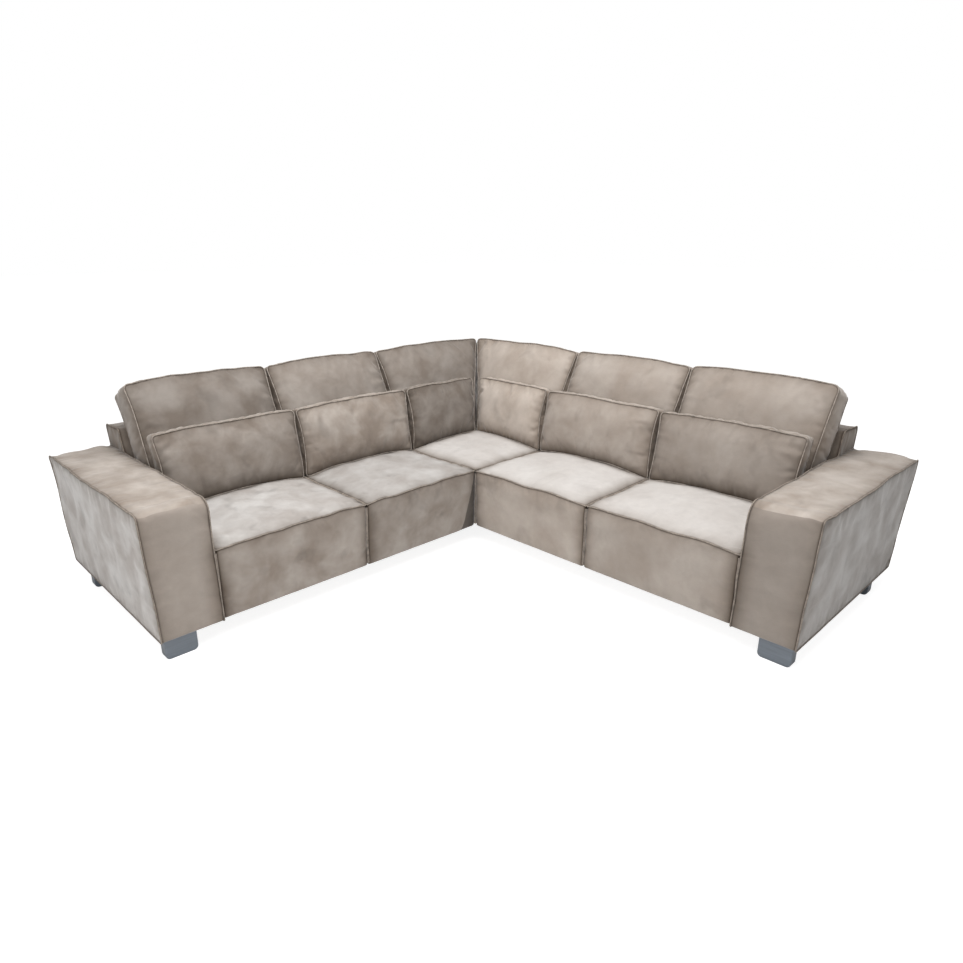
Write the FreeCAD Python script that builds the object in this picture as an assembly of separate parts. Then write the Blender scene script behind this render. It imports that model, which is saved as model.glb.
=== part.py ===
"""Corner sofa with two equal wings, built in three sections that are bolted together.

The row frame has +Z up and its origin on the floor, at the centre of the square that
the sofa fills. The outer back corner lies at +X +Y. The left wing runs along X with its
back towards +Y, and the right wing is its mirror image in the plane X = Y.

Inside the script a point of the left wing is given as (s, d, z): s runs along the wing
from the outer back corner towards the arm, d runs from the back plane towards the front,
and z is the height above the floor. All sizes are in millimetres.
"""
import FreeCAD, Part
import math
import os

# Overall layout
SEAT_WIDTH = 687.0
WING_DEPTH = 1054.0
ARM_WIDTH = 255.0
ARM_GAP = 17.0
FOOT_HEIGHT = 96.0
SEAT_EDGE_HEIGHT = 388.0
BACK_HEIGHT = 690.0
ARM_HEIGHT = 582.0

# Clearances
SOFT_GAP = 0.4
FIT = 0.3
SEAM_GAP = 6.0
CUSHION_GAP = 4.0

# Seats
SEAT_CROWN = 30.0
SEAT_END_CROWN = 1.0
SEAT_STEPS = 6
CORNER_SEAT_STEPS = 10
SEAT_TOPPER = 12.0
SEAT_WALL = 8.0
SEAT_REAR = 268.0

# Low upholstered back
BACK_FOOT_SETBACK = 75.0
BACK_WALL = 12.0
BACK_EDGE_RADIUS = 14.0
BACK_EDGE_STEPS = 4
FORMER_THICKNESS = 24.0
BACK_RAIL_WIDTH = 45.0
BACK_RAIL_THICKNESS = 24.0
CORNER_POST = 60.0
CORNER_FRAME_START = 26.0
CORNER_FRAME_END = 14.0

# Back cushions
BACK_CUSHION_TOP = 902.0
BACK_CUSHION_TOP_DEPTH = 253.0
BACK_CUSHION_LEAN = 26.0
BACK_CUSHION_THICKNESS = 158.0
BACK_CROWN_FRONT = 24.0
BACK_CROWN_REAR = 16.0
BACK_EDGE_RISE = 12.0
BACK_BOXING_BULGE = 5.0

# Lumbar cushions
LUMBAR_TOP = 720.0
LUMBAR_TOP_DEPTH = 510.0
LUMBAR_LEAN = 9.8
LUMBAR_THICKNESS = 64.0
LUMBAR_CROWN_FRONT = 18.0
LUMBAR_CROWN_REAR = 19.0
LUMBAR_EDGE_RISE = 5.0
LUMBAR_BOXING_BULGE = 2.5
LUMBAR_CORNER_CLEARANCE = 58.0

# Shared cushion form
END_THINNING = 0.9
END_CROWN_SHARE = 0.7
END_DRAW_IN = 6.0
CUSHION_STEPS = 3
SETTLING_STEPS = 4

# Arms
ARM_TOP_SETBACK = 17.0
ARM_FOOT_PROUD = 10.0
ARM_TAPER = 15.0
ARM_INNER_CORNER = 52.0
ARM_OUTER_CORNER = 14.0
ARM_REAR_CORNER = 12.0
ARM_FRONT_STEPS = 6
ARM_REAR_STEPS = 2
ARM_INSIDE_STEPS = 2
ARM_COVER_WALL = 6.0
ARM_PAD = 20.0
ARM_BOARD = 16.0

# Timber base
RAIL_THICKNESS = 28.0
RAIL_TOP = 255.0
CROSS_RAIL_DROP = 32.0
DUST_CLOTH = 1.2

# Seat springs and clips
SPRING_WIRE = 4.0
SPRING_HALF_WIDTH = 26.0
SPRING_PITCH = 76.0
SPRING_RUN = 20.0
SPRING_ARCH = 20.0
SPRING_ARCH_STEPS = 4
SPRINGS_PER_SEAT = 3
SPRINGS_IN_CORNER = 4
CLIP_PLATE = 1.5
CLIP_WIDTH = 32.0
CLIP_PLAY = 0.2
CLIP_ROOF_PLAY = 0.8

# Feet, studs and bolts
BLOCK_FOOT_WIDTH = 125.0
BLOCK_FOOT_DEPTH = 42.0
BLOCK_FOOT_INSET = 103.0
BLOCK_FOOT_SETBACK = 20.0
BLOCK_FOOT_RADIUS = 18.0
BLOCK_FOOT_STEPS = 6
REAR_FOOT_SETBACK = 140.0
SUPPORT_FOOT_TOP = 52.0
SUPPORT_FOOT_TOE = 38.0
SUPPORT_FOOT_EDGE = 150.0
SUPPORT_FOOT_SETBACK = 264.0
STUD_RADIUS = 4.0
STUD_LENGTH = 28.0
HOLE_PLAY = 0.2
FASTENER_SIDE_COUNT = 6
BOLT_RADIUS = 4.0
BOLT_HEAD_RADIUS = 8.0
BOLT_HEAD_HEIGHT = 5.0
BOLT_TAIL = 10.0
BOLT_HEIGHT = 175.0
BOLT_REAR_INSET = 162.0
BOLT_FRONT_INSET = 154.0
NUT_RADIUS = 7.5
NUT_HEIGHT = 6.5
COACH_SCREW_BITE = 45.0
COACH_SCREW_HEIGHT = 239.0

# Values that follow from the ones above
SEAT_JOINT = WING_DEPTH + SEAT_WIDTH
SEAT_END = WING_DEPTH + 2 * SEAT_WIDTH
ARM_INNER = SEAT_END + ARM_GAP
WING_LENGTH = ARM_INNER + ARM_WIDTH
REAR_LIMIT = BACK_FOOT_SETBACK * ARM_REAR_CORNER / (BACK_HEIGHT - FOOT_HEIGHT)
HALF = (WING_LENGTH + REAR_LIMIT) / 2
SEAT_TOP = SEAT_EDGE_HEIGHT + SEAT_CROWN
ARM_FRONT_TOP = WING_DEPTH - ARM_TOP_SETBACK
ARM_FRONT_FOOT = WING_DEPTH + ARM_FOOT_PROUD
CORNER_FRAME = (SEAT_REAR + CORNER_FRAME_START, WING_DEPTH - CORNER_FRAME_END)
LUMBAR_CORNER_START = LUMBAR_TOP_DEPTH + LUMBAR_CORNER_CLEARANCE
SUPPORT_FOOT_FRONT = WING_DEPTH - SUPPORT_FOOT_SETBACK
BOLT_DEPTHS = (SEAT_REAR + BOLT_REAR_INSET, WING_DEPTH - BOLT_FRONT_INSET)
RAIL_BOTTOM = FOOT_HEIGHT + DUST_CLOTH
BACK_SEAT_DEPTH = SEAT_REAR - SOFT_GAP
SPRING_FOOT = RAIL_TOP + CLIP_PLATE + CLIP_PLAY
FOAM_TOP = SEAT_EDGE_HEIGHT - SEAT_TOPPER
FOAM_BOTTOM = SPRING_FOOT + SPRING_ARCH + SPRING_WIRE + SOFT_GAP
REAR_RAIL_DEPTH = SEAT_REAR + FIT + RAIL_THICKNESS / 2
FRONT_RAIL_DEPTH = WING_DEPTH - SEAT_WALL - FIT - RAIL_THICKNESS / 2
LEAN = math.radians(BACK_CUSHION_LEAN)
BACK_CUSHION_REAR_AT_FRAME = (
    BACK_CUSHION_TOP_DEPTH
    + (BACK_CUSHION_TOP - BACK_HEIGHT) * math.tan(LEAN)
    - (BACK_CUSHION_THICKNESS + BACK_CROWN_REAR) / math.cos(LEAN)
)
BACK_TOP_DEPTH = BACK_CUSHION_REAR_AT_FRAME - SOFT_GAP

Vector = FreeCAD.Vector
MIRROR_NORMAL = Vector(1, -1, 0)


def at(s, d, z):
    """Turn wing coordinates into a point of the row frame."""
    return Vector(HALF - s, HALF - d, z)


def block(s0, s1, d0, d1, z0, z1):
    """A box between two corners given in wing coordinates."""
    return Part.makeBox(s1 - s0, d1 - d0, z1 - z0, at(s1, d1, z0))


def line(a, b):
    return Part.LineSegment(a, b).toShape()


def arc(a, middle, b):
    return Part.Arc(a, middle, b).toShape()


def across(profile, s0, s1):
    """A (d, z) polygon carried along the wing from s0 to s1."""
    return flat([at(s0, d, z) for d, z in profile]).extrude(at(s1, 0, 0) - at(s0, 0, 0))


def soft_corner(edge, side, top, radius, steps):
    """Points of a soft upper corner in short flats, from the edge's side up to the top."""
    points = []
    for number in range(steps + 1):
        angle = math.pi / 2 * number / steps
        z = top - radius + radius * math.sin(angle)
        points.append((edge(z) - side * radius * (1 - math.cos(angle)), z))
    return points


def flat(points):
    """The flat face inside a closed row of points."""
    return Part.Face(Part.makePolygon(points + points[:1]))


def between(first, second):
    """A solid between two outlines whose matching sides run parallel."""
    faces = [flat(first), flat(second)]
    for number in range(len(first)):
        faces.append(flat([first[number - 1], first[number], second[number], second[number - 1]]))
    solid = Part.Solid(Part.Shell(faces))
    if solid.Volume < 0:
        solid.reverse()
    return solid


def mirrored(shape):
    """The right wing's copy of a left wing shape."""
    return shape.mirror(Vector(0, 0, 0), MIRROR_NORMAL)


def export(name, *shapes):
    """Write one sub-part, as a single solid or a group of separate solids."""
    solids = [solid for shape in shapes for solid in shape.Solids]
    result = solids[0] if len(solids) == 1 else Part.makeCompound(solids)
    result.exportStep("parts/" + name + ".step")


def export_pair(name, *shapes):
    """Write a sub-part of the left wing and its mirror image on the right wing."""
    export("left_" + name, *shapes)
    export("right_" + name, *[mirrored(shape) for shape in shapes])


# Seats

def crown_at(share, crown, end_crown):
    """Height of the crown at a share of the width, highest in the middle."""
    return end_crown + (crown - end_crown) * (1 - (2 * share - 1) ** 2)


def even_crown_shares(steps):
    """Shares of a width, from 0 to 1, between which the crown changes by equal amounts."""
    shares = []
    for number in range(-steps, steps + 1):
        shares.append(0.5 + math.copysign(math.sqrt(abs(number) / steps), number) / 2)
    return shares


def seat_section(s, base, crown):
    """Outline across a seat: flat base, upright sides and an arched top."""
    rear_low = at(s, SEAT_REAR, base)
    rear_top = at(s, SEAT_REAR, SEAT_EDGE_HEIGHT)
    front_top = at(s, WING_DEPTH, SEAT_EDGE_HEIGHT)
    front_low = at(s, WING_DEPTH, base)
    middle = at(s, (SEAT_REAR + WING_DEPTH) / 2, SEAT_EDGE_HEIGHT + crown)
    return Part.Wire([
        line(rear_low, rear_top),
        arc(rear_top, middle, front_top),
        line(front_top, front_low),
        line(front_low, rear_low),
    ])


def seat_cover(s0, s1, front_panel, steps=SEAT_STEPS):
    """Fabric over a soft crowned topper, open underneath, with or without a front panel."""
    bottom = FOOT_HEIGHT if front_panel else RAIL_TOP
    sections = []
    for share in even_crown_shares(steps):
        crown = crown_at(share, SEAT_CROWN, SEAT_END_CROWN)
        sections.append(seat_section(s0 + share * (s1 - s0), bottom, crown))
    cover = Part.makeLoft(sections, True, True)
    wall = SEAT_WALL
    room = block(s0 + wall, s1 - wall, SEAT_REAR + wall, WING_DEPTH - wall, bottom - 1, FOAM_TOP + SOFT_GAP)
    cover = cover.cut(room)
    if front_panel:
        below = block(s0 - 1, s1 + 1, SEAT_REAR - 1, WING_DEPTH - wall, bottom - 1, RAIL_TOP)
        cover = cover.cut(below)
    return cover


def seat_foam(s0, s1):
    """The foam block under a seat's cover."""
    inset = SEAT_WALL + SOFT_GAP
    return block(s0 + inset, s1 - inset, SEAT_REAR + inset, WING_DEPTH - inset, FOAM_BOTTOM, FOAM_TOP)


# Cushions

def cushion_section(s, share, form):
    """Outline across a cushion, in its own leaning plane, at a share of its width."""
    lean = math.radians(form["lean"])
    swell = crown_at(share, 1.0, END_CROWN_SHARE)
    half = form["thickness"] / 2 * crown_at(share, 1.0, END_THINNING)
    top = form["height"] + crown_at(share, form["rise"], 0.0)
    middle = form["thickness"] / 2

    def place(t, h):
        along = h - form["height"]
        d = form["top_depth"] + t * math.cos(lean) - along * math.sin(lean)
        z = form["top_height"] + t * math.sin(lean) + along * math.cos(lean)
        return at(s, d, z)

    front, rear = half - middle, -half - middle
    front_low, front_top = place(front, 0), place(front, top)
    rear_low, rear_top = place(rear, 0), place(rear, top)
    return Part.Wire([
        arc(front_low, place(front + form["crown_front"] * swell, top / 2), front_top),
        arc(front_top, place(-middle, top + form["bulge"]), rear_top),
        arc(rear_top, place(rear - form["crown_rear"] * swell, top / 2), rear_low),
        arc(rear_low, place(-middle, -form["bulge"]), front_low),
    ])


def drawn_in_end(s_end, side, form):
    """A shallow round cut that draws a cushion's end in between its corners."""
    reach = form["height"]
    radius = (reach ** 2 / 4 + END_DRAW_IN ** 2) / (2 * END_DRAW_IN)
    lean = math.radians(form["lean"])
    s = s_end + side * (radius - END_DRAW_IN)
    d = form["top_depth"] + reach / 2 * math.sin(lean)
    z = form["top_height"] - reach / 2 * math.cos(lean)
    direction = Vector(0, -math.cos(lean), math.sin(lean))
    start = at(s, d, z) - direction * reach
    return Part.makeCylinder(radius, 2 * reach, start, direction)


def cushion(s0, s1, form, ends=(-1, 1)):
    """A stuffed cushion between two stations, flat only where it stands on the seat."""
    sections = []
    for share in even_crown_shares(CUSHION_STEPS):
        sections.append(cushion_section(s0 + share * (s1 - s0), share, form))
    body = Part.makeLoft(sections, True, True)
    for side in ends:
        body = body.cut(drawn_in_end(s0 if side < 0 else s1, side, form))
    below = block(s0 - 1, s1 + 1, 0, WING_DEPTH, 0, form["floor"])
    return body.cut(below)


def seat_height(d):
    """Height of a seat's crown at a depth, along the middle of the seat."""
    half = (WING_DEPTH - SEAT_REAR) / 2
    radius = (half ** 2 + SEAT_CROWN ** 2) / (2 * SEAT_CROWN)
    offset = d - (WING_DEPTH + SEAT_REAR) / 2
    return SEAT_TOP - radius + math.sqrt(radius ** 2 - offset ** 2)


def standing_form(top, top_depth, lean, thickness, crown_front, crown_rear, rise, bulge):
    """The measures of a cushion that leans back and stands on the crown of a seat."""
    slope = math.tan(math.radians(lean))
    floor = SEAT_TOP
    for _ in range(SETTLING_STEPS):
        floor = seat_height(top_depth + (top - floor) * slope) + SOFT_GAP
    return {
        "lean": lean,
        "thickness": thickness,
        "height": (top - floor) / math.cos(math.radians(lean)),
        "top_depth": top_depth,
        "top_height": top,
        "floor": floor,
        "crown_front": crown_front,
        "crown_rear": crown_rear,
        "rise": rise,
        "bulge": bulge,
    }


BACK_FORM = standing_form(
    BACK_CUSHION_TOP, BACK_CUSHION_TOP_DEPTH, BACK_CUSHION_LEAN,
    BACK_CUSHION_THICKNESS, BACK_CROWN_FRONT, BACK_CROWN_REAR, BACK_EDGE_RISE, BACK_BOXING_BULGE,
)
LUMBAR_FORM = standing_form(
    LUMBAR_TOP, LUMBAR_TOP_DEPTH, LUMBAR_LEAN,
    LUMBAR_THICKNESS, LUMBAR_CROWN_FRONT, LUMBAR_CROWN_REAR, LUMBAR_EDGE_RISE, LUMBAR_BOXING_BULGE,
)


def beyond_diagonal(gap):
    """Everything on the right wing's side of the plane X = Y, and a gap short of it."""
    reach = 2 * WING_LENGTH
    slab = Part.makeBox(reach, reach, reach, Vector(0, -reach / 2, -reach / 2))
    slab.rotate(Vector(0, 0, 0), Vector(0, 0, 1), -45)
    shift = gap / math.sqrt(2)
    slab.translate(Vector(-shift, shift, 0))
    return slab


def corner_back_cushion():
    """The back cushion beside the corner, mitred where it meets its mirror image."""
    start = BACK_TOP_DEPTH - BACK_WALL
    whole = cushion(start, WING_DEPTH - CUSHION_GAP / 2, BACK_FORM, ends=(1,))
    return whole.cut(beyond_diagonal(CUSHION_GAP / 2))


# Low back

def rear_depth(z, inset):
    """Depth of the sloping rear face at a height, taken in by the inset."""
    share = (BACK_HEIGHT - z) / (BACK_HEIGHT - FOOT_HEIGHT)
    return BACK_FOOT_SETBACK * share + inset


def front_depth(z, inset):
    """Depth of the inner face at a height: sloping above the seat, upright below it."""
    share = min(1.0, (BACK_HEIGHT - z) / (BACK_HEIGHT - SEAT_EDGE_HEIGHT))
    return BACK_TOP_DEPTH + (BACK_SEAT_DEPTH - BACK_TOP_DEPTH) * share - inset


def back_profile(base, inset, edge_radius=0.0):
    """The (d, z) outline of the low back, taken in from its faces by the inset."""
    top = BACK_HEIGHT - inset

    def rear(z):
        return rear_depth(z, inset)

    def front(z):
        return front_depth(z, inset)

    if edge_radius:
        rear_top = soft_corner(rear, -1, top, edge_radius, BACK_EDGE_STEPS)
        front_top = soft_corner(front, 1, top, edge_radius, BACK_EDGE_STEPS)[::-1]
    else:
        rear_top, front_top = [(rear(top), top)], [(front(top), top)]
    feet = [(front(SEAT_EDGE_HEIGHT), SEAT_EDGE_HEIGHT), (front(SEAT_EDGE_HEIGHT), base), (rear(base), base)]
    return rear_top + front_top + feet


def back_cover(s0, s1):
    """Padded fabric over the low back, open underneath and hollow inside."""
    outer = across(back_profile(FOOT_HEIGHT, 0.0, BACK_EDGE_RADIUS), s0, s1)
    room = across(back_profile(FOOT_HEIGHT - 1, BACK_WALL), s0 + BACK_WALL, s1 - BACK_WALL)
    cloth_room = block(s0 - 1, s1 + 1, rear_depth(FOOT_HEIGHT, BACK_WALL), SEAT_REAR, FOOT_HEIGHT - 1, RAIL_BOTTOM + FIT)
    return outer.cut(room).cut(cloth_room)


def former(s):
    """An upright board cut to the slope of the back, standing inside its cover."""
    profile = back_profile(RAIL_BOTTOM, BACK_WALL + SOFT_GAP)
    return across(profile, s, s + FORMER_THICKNESS)


def back_rails(s0, s1):
    """Top, middle and lower rails between two formers."""
    inset = BACK_WALL + SOFT_GAP
    top = BACK_HEIGHT - inset
    top_rear = rear_depth(top - BACK_RAIL_THICKNESS, inset)
    seat_rear = rear_depth(RAIL_TOP, inset)
    low_rear = rear_depth(RAIL_BOTTOM, inset)
    return [
        block(s0, s1, top_rear, top_rear + 2 * BACK_RAIL_WIDTH, top - BACK_RAIL_THICKNESS, top),
        block(s0, s1, seat_rear, seat_rear + BACK_RAIL_THICKNESS, RAIL_TOP, RAIL_TOP + 2 * BACK_RAIL_WIDTH),
        block(s0, s1, low_rear, low_rear + BACK_RAIL_WIDTH, RAIL_BOTTOM, RAIL_BOTTOM + BACK_RAIL_THICKNESS),
    ]


def former_stations(s0, s1, bays):
    """Where the formers of a back start, at even spacing between its ends."""
    inset = BACK_WALL + SOFT_GAP
    first = s0 + inset
    step = (s1 - inset - FORMER_THICKNESS - first) / bays
    return [first + step * number for number in range(bays + 1)]


def back_frame(s0, s1, bays):
    """Formers joined by rails."""
    stations = former_stations(s0, s1, bays)
    parts = [former(s) for s in stations]
    for before, after in zip(stations, stations[1:]):
        parts += back_rails(before + FORMER_THICKNESS, after)
    return parts


# Arms

def arm_outline(s, corner, inset, base, front_steps, rear_steps):
    """An arm's side outline at a station: sloping front and rear, with soft upper corners."""
    top = ARM_HEIGHT - inset

    def front(z):
        share = (z - FOOT_HEIGHT) / (ARM_HEIGHT - FOOT_HEIGHT)
        return ARM_FRONT_FOOT + (ARM_FRONT_TOP - ARM_FRONT_FOOT) * share - inset

    def rear(z):
        return rear_depth(z + BACK_HEIGHT - ARM_HEIGHT, inset)

    front_top = soft_corner(front, 1, top, corner - inset, front_steps)
    rear_top = soft_corner(rear, -1, top, ARM_REAR_CORNER - inset, rear_steps)[::-1]
    profile = [(front(base), base)] + front_top + rear_top + [(rear(base), base)]
    return [at(s, d, z) for d, z in profile]


def arm_form(inset, base, front_steps, rear_steps):
    """The arm's outer form taken in by the inset, with an outer side that tapers to the foot."""
    outer = WING_LENGTH - inset
    form = between(
        arm_outline(ARM_INNER + inset, ARM_INNER_CORNER, inset, base, front_steps, rear_steps),
        arm_outline(outer, ARM_OUTER_CORNER, inset, base, front_steps, rear_steps),
    )
    foot = FOOT_HEIGHT - 2
    slope = ARM_TAPER / (ARM_HEIGHT - FOOT_HEIGHT)
    wedge = [(outer - slope * (ARM_HEIGHT - foot), foot), (outer, ARM_HEIGHT), (outer + 1, ARM_HEIGHT), (outer + 1, foot)]
    side = flat([at(s, 0, z) for s, z in wedge]).extrude(at(0, WING_LENGTH, 0) - at(0, 0, 0))
    return form.cut(side)


ARM_FRAME_INSET = ARM_COVER_WALL + ARM_PAD
ARM_FRAME_S = (ARM_INNER + ARM_FRAME_INSET, WING_LENGTH - ARM_TAPER - ARM_FRAME_INSET)
ARM_FRAME_D = (BACK_FOOT_SETBACK + ARM_FRAME_INSET, ARM_FRONT_TOP - ARM_FRAME_INSET)
ARM_FRAME_TOE = ARM_FRONT_FOOT - ARM_FRAME_INSET
ARM_FRAME_TOP = ARM_HEIGHT - ARM_FRAME_INSET


def arm_cover():
    """Fabric over the arm, open underneath."""
    outer = arm_form(0.0, FOOT_HEIGHT, ARM_FRONT_STEPS, ARM_REAR_STEPS)
    return outer.cut(arm_form(ARM_COVER_WALL, FOOT_HEIGHT - 1, ARM_INSIDE_STEPS, ARM_INSIDE_STEPS))


def arm_pad():
    """Foam between the arm's fabric and its box frame, open underneath."""
    foam = arm_form(ARM_COVER_WALL + FIT, FOOT_HEIGHT, ARM_INSIDE_STEPS, ARM_INSIDE_STEPS)
    room = block(*ARM_FRAME_S, *ARM_FRAME_D, FOOT_HEIGHT - 1, ARM_FRAME_TOP)
    toe_room = block(*ARM_FRAME_S, ARM_FRAME_D[0], ARM_FRAME_TOE, FOOT_HEIGHT - 1, FOOT_HEIGHT + ARM_BOARD + FIT)
    return foam.cut(room).cut(toe_room)


def arm_frame():
    """The arm's box of boards: foot board, two sides, two ends, a divider and a top."""
    s0, s1 = ARM_FRAME_S
    d0, d1 = ARM_FRAME_D
    low, high = FOOT_HEIGHT, ARM_FRAME_TOP - FIT
    board = ARM_BOARD
    middle = (d0 + d1) / 2
    s0, s1, d0, d1 = s0 + FIT, s1 - FIT, d0 + FIT, d1 - FIT
    return [
        block(s0, s1, d0, ARM_FRAME_TOE - FIT, low, low + board),
        block(s0, s0 + board, d0, d1, low + board, high - board),
        block(s1 - board, s1, d0, d1, low + board, high - board),
        block(s0 + board, s1 - board, d0, d0 + board, low + board, high - board),
        block(s0 + board, s1 - board, d1 - board, d1, low + board, high - board),
        block(s0 + board, s1 - board, middle, middle + board, low + board, high - board),
        block(s0, s1, d0, d1, high - board, high),
    ]


# Base frames

def wing_rails():
    """Front rail, rear rail and cross rails of a wing's base."""
    s0, s1 = WING_DEPTH + FIT, ARM_INNER - FIT
    half = RAIL_THICKNESS / 2
    front = block(s0, s1, FRONT_RAIL_DEPTH - half, FRONT_RAIL_DEPTH + half, RAIL_BOTTOM, RAIL_TOP)
    rear = block(s0, s1, REAR_RAIL_DEPTH - half, REAR_RAIL_DEPTH + half, RAIL_BOTTOM, RAIL_TOP)
    crosses = []
    for s in (s0, SEAT_JOINT - half, s1 - RAIL_THICKNESS):
        crosses.append(block(s, s + RAIL_THICKNESS, REAR_RAIL_DEPTH + half,
                             FRONT_RAIL_DEPTH - half, RAIL_BOTTOM, RAIL_TOP - CROSS_RAIL_DROP))
    return front, rear, crosses


def corner_rails():
    """The square frame under the corner seat."""
    half = RAIL_THICKNESS / 2
    end = WING_DEPTH - FIT
    start = REAR_RAIL_DEPTH - half
    inner0, inner1 = start + RAIL_THICKNESS, end - RAIL_THICKNESS
    middle = (start + end) / 2
    return [
        block(start, end, start, inner0, RAIL_BOTTOM, RAIL_TOP),
        block(start, end, inner1, end, RAIL_BOTTOM, RAIL_TOP),
        block(start, inner0, inner0, inner1, RAIL_BOTTOM, RAIL_TOP),
        block(inner1, end, inner0, inner1, RAIL_BOTTOM, RAIL_TOP - CROSS_RAIL_DROP),
        block(middle - half, middle + half, inner0, inner1, RAIL_BOTTOM, RAIL_TOP - CROSS_RAIL_DROP),
    ]


def dust_cloth(s0, s1, d0, d1):
    """The thin cloth stapled under a section."""
    return block(s0, s1, d0, d1, FOOT_HEIGHT, RAIL_BOTTOM)


# Springs

def ribbon(path, width):
    """A band of even width along a path of (s, d) points, with mitred corners."""
    count = len(path)
    sides = {1: [], -1: []}
    for number, (s, d) in enumerate(path):
        before = path[max(number - 1, 0)]
        after = path[min(number + 1, count - 1)]
        first = unit(s - before[0], d - before[1]) if number else None
        last = unit(after[0] - s, after[1] - d) if number < count - 1 else first
        first = first or last
        normal = unit(-first[1] - last[1], first[0] + last[0])
        reach = width / 2 / (normal[0] * -last[1] + normal[1] * last[0])
        for side in sides:
            sides[side].append((s + side * reach * normal[0], d + side * reach * normal[1]))
    return sides[1] + sides[-1][::-1]


def unit(a, b):
    length = math.hypot(a, b)
    return a / length, b / length


def spring_path(s, d0, d1):
    """The zigzag of one spring, seen from above, with a straight bar at each end."""
    turns = max(2, round((d1 - d0 - SPRING_RUN) / SPRING_PITCH))
    step = (d1 - d0 - SPRING_RUN) / turns
    side = SPRING_HALF_WIDTH
    path = [(s - side, d0)]
    for number in range(turns + 1):
        start = d0 + step * number
        path.append((s + side, start))
        path.append((s + side, start + SPRING_RUN))
        side = -side
    path.append((s + side, d1))
    return path


def springs(stations, d0, d1):
    """Arched sinuous springs that cross a seat from the rear rail to the front rail."""
    rear, front = d0 - SPRING_WIRE / 2, d1 + SPRING_WIRE / 2
    bow_s0 = stations[0] - 2 * SPRING_HALF_WIDTH
    bow_s1 = stations[-1] + 2 * SPRING_HALF_WIDTH
    lower, upper = [], []
    for number in range(SPRING_ARCH_STEPS + 1):
        share = number / SPRING_ARCH_STEPS
        d = rear + (front - rear) * share
        z = SPRING_FOOT + crown_at(share, SPRING_ARCH, 0.0)
        lower.append((d, z))
        upper.append((d, z + SPRING_WIRE))
    bow = across(lower + upper[::-1], bow_s0, bow_s1)
    made = []
    for s in stations:
        points = [at(a, b, SPRING_FOOT - 1) for a, b in ribbon(spring_path(s, d0, d1), SPRING_WIRE)]
        tall = flat(points).extrude(Vector(0, 0, SPRING_ARCH + 2 * SPRING_WIRE))
        made += tall.common(bow).Solids
    return made


def spring_clips(stations, d0, d1):
    """Folded clips on the rails, each closed over the end bar of a spring."""
    made = []
    reach = SPRING_WIRE / 2 + CLIP_PLAY
    roof = SPRING_FOOT + SPRING_WIRE + CLIP_ROOF_PLAY
    for s in stations:
        for d, outward in ((d0, -1), (d1, 1)):
            back = d + outward * (reach + CLIP_PLATE)
            web = d + outward * reach
            tail = d - outward * (reach + 2 * CLIP_PLATE)
            profile = [
                (tail, RAIL_TOP), (back, RAIL_TOP), (back, roof + CLIP_PLATE),
                (tail, roof + CLIP_PLATE), (tail, roof), (web, roof),
                (web, RAIL_TOP + CLIP_PLATE), (tail, RAIL_TOP + CLIP_PLATE),
            ]
            made.append(across(profile, s - CLIP_WIDTH / 2, s + CLIP_WIDTH / 2))
    return made


def spread(s0, s1, count):
    """Even stations between two ends, half a step in from each."""
    step = (s1 - s0) / count
    return [s0 + step * (number + 0.5) for number in range(count)]


# Feet, studs and bolts

def prism(start, end, radius, sides):
    """A rod with flat sides between two points, its corners on the stated radius."""
    run = (end - start).normalize()
    first = Vector(1, 0, 0) if abs(run.z) > 0.5 else Vector(0, 0, 1)
    second = run.cross(first)
    points = []
    for number in range(sides):
        turn = 2 * math.pi * number / sides
        points.append(start + first * (radius * math.cos(turn)) + second * (radius * math.sin(turn)))
    return flat(points).extrude(end - start)


def bolt(start, end, radius, head_radius, head_height):
    """A fastener from start to end, with its head outside the start."""
    run = (end - start).normalize()
    head = prism(start - run * head_height, start, head_radius, FASTENER_SIDE_COUNT)
    return head.fuse(prism(start, end, radius, FASTENER_SIDE_COUNT)).removeSplitter()


def bolt_hole(start, end, radius):
    """The clearance hole along a fastener, a little longer than it at each end."""
    run = (end - start).normalize()
    return prism(start - run, end + run, radius + HOLE_PLAY, FASTENER_SIDE_COUNT)


def stud_ends(s, d):
    """Start and end of the stud that joins a foot to the timber above it."""
    return at(s, d, FOOT_HEIGHT - STUD_LENGTH / 2), at(s, d, FOOT_HEIGHT + STUD_LENGTH / 2)


def stud(s, d):
    return prism(*stud_ends(s, d), STUD_RADIUS, FASTENER_SIDE_COUNT)


def stud_hole(s, d):
    return bolt_hole(*stud_ends(s, d), STUD_RADIUS)


def block_foot_centre(rear):
    """Place of a block foot under an arm, as (s, d)."""
    s = ARM_INNER + BLOCK_FOOT_INSET + BLOCK_FOOT_WIDTH / 2
    d = ARM_FRONT_FOOT - BLOCK_FOOT_SETBACK - BLOCK_FOOT_DEPTH / 2
    if rear:
        d = BACK_FOOT_SETBACK + REAR_FOOT_SETBACK
    return s, d


def block_foot_studs(rear):
    """Places of the two studs of a block foot."""
    s, d = block_foot_centre(rear)
    reach = BLOCK_FOOT_WIDTH / 4
    return [(s - reach, d), (s + reach, d)]


def block_foot(rear):
    """A solid block foot with rounded lower corners and holes for its two studs."""
    s, d = block_foot_centre(rear)
    half = BLOCK_FOOT_WIDTH / 2
    corner = soft_corner(lambda z: half, 1, 0, BLOCK_FOOT_RADIUS, BLOCK_FOOT_STEPS)
    outline = [(half, FOOT_HEIGHT)] + [(a, -z) for a, z in corner]
    outline += [(-a, z) for a, z in outline[::-1]]
    start = d - BLOCK_FOOT_DEPTH / 2
    foot = flat([at(s + a, start, z) for a, z in outline]).extrude(Vector(0, -BLOCK_FOOT_DEPTH, 0))
    for place in block_foot_studs(rear):
        foot = foot.cut(stud_hole(*place))
    return foot


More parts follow.
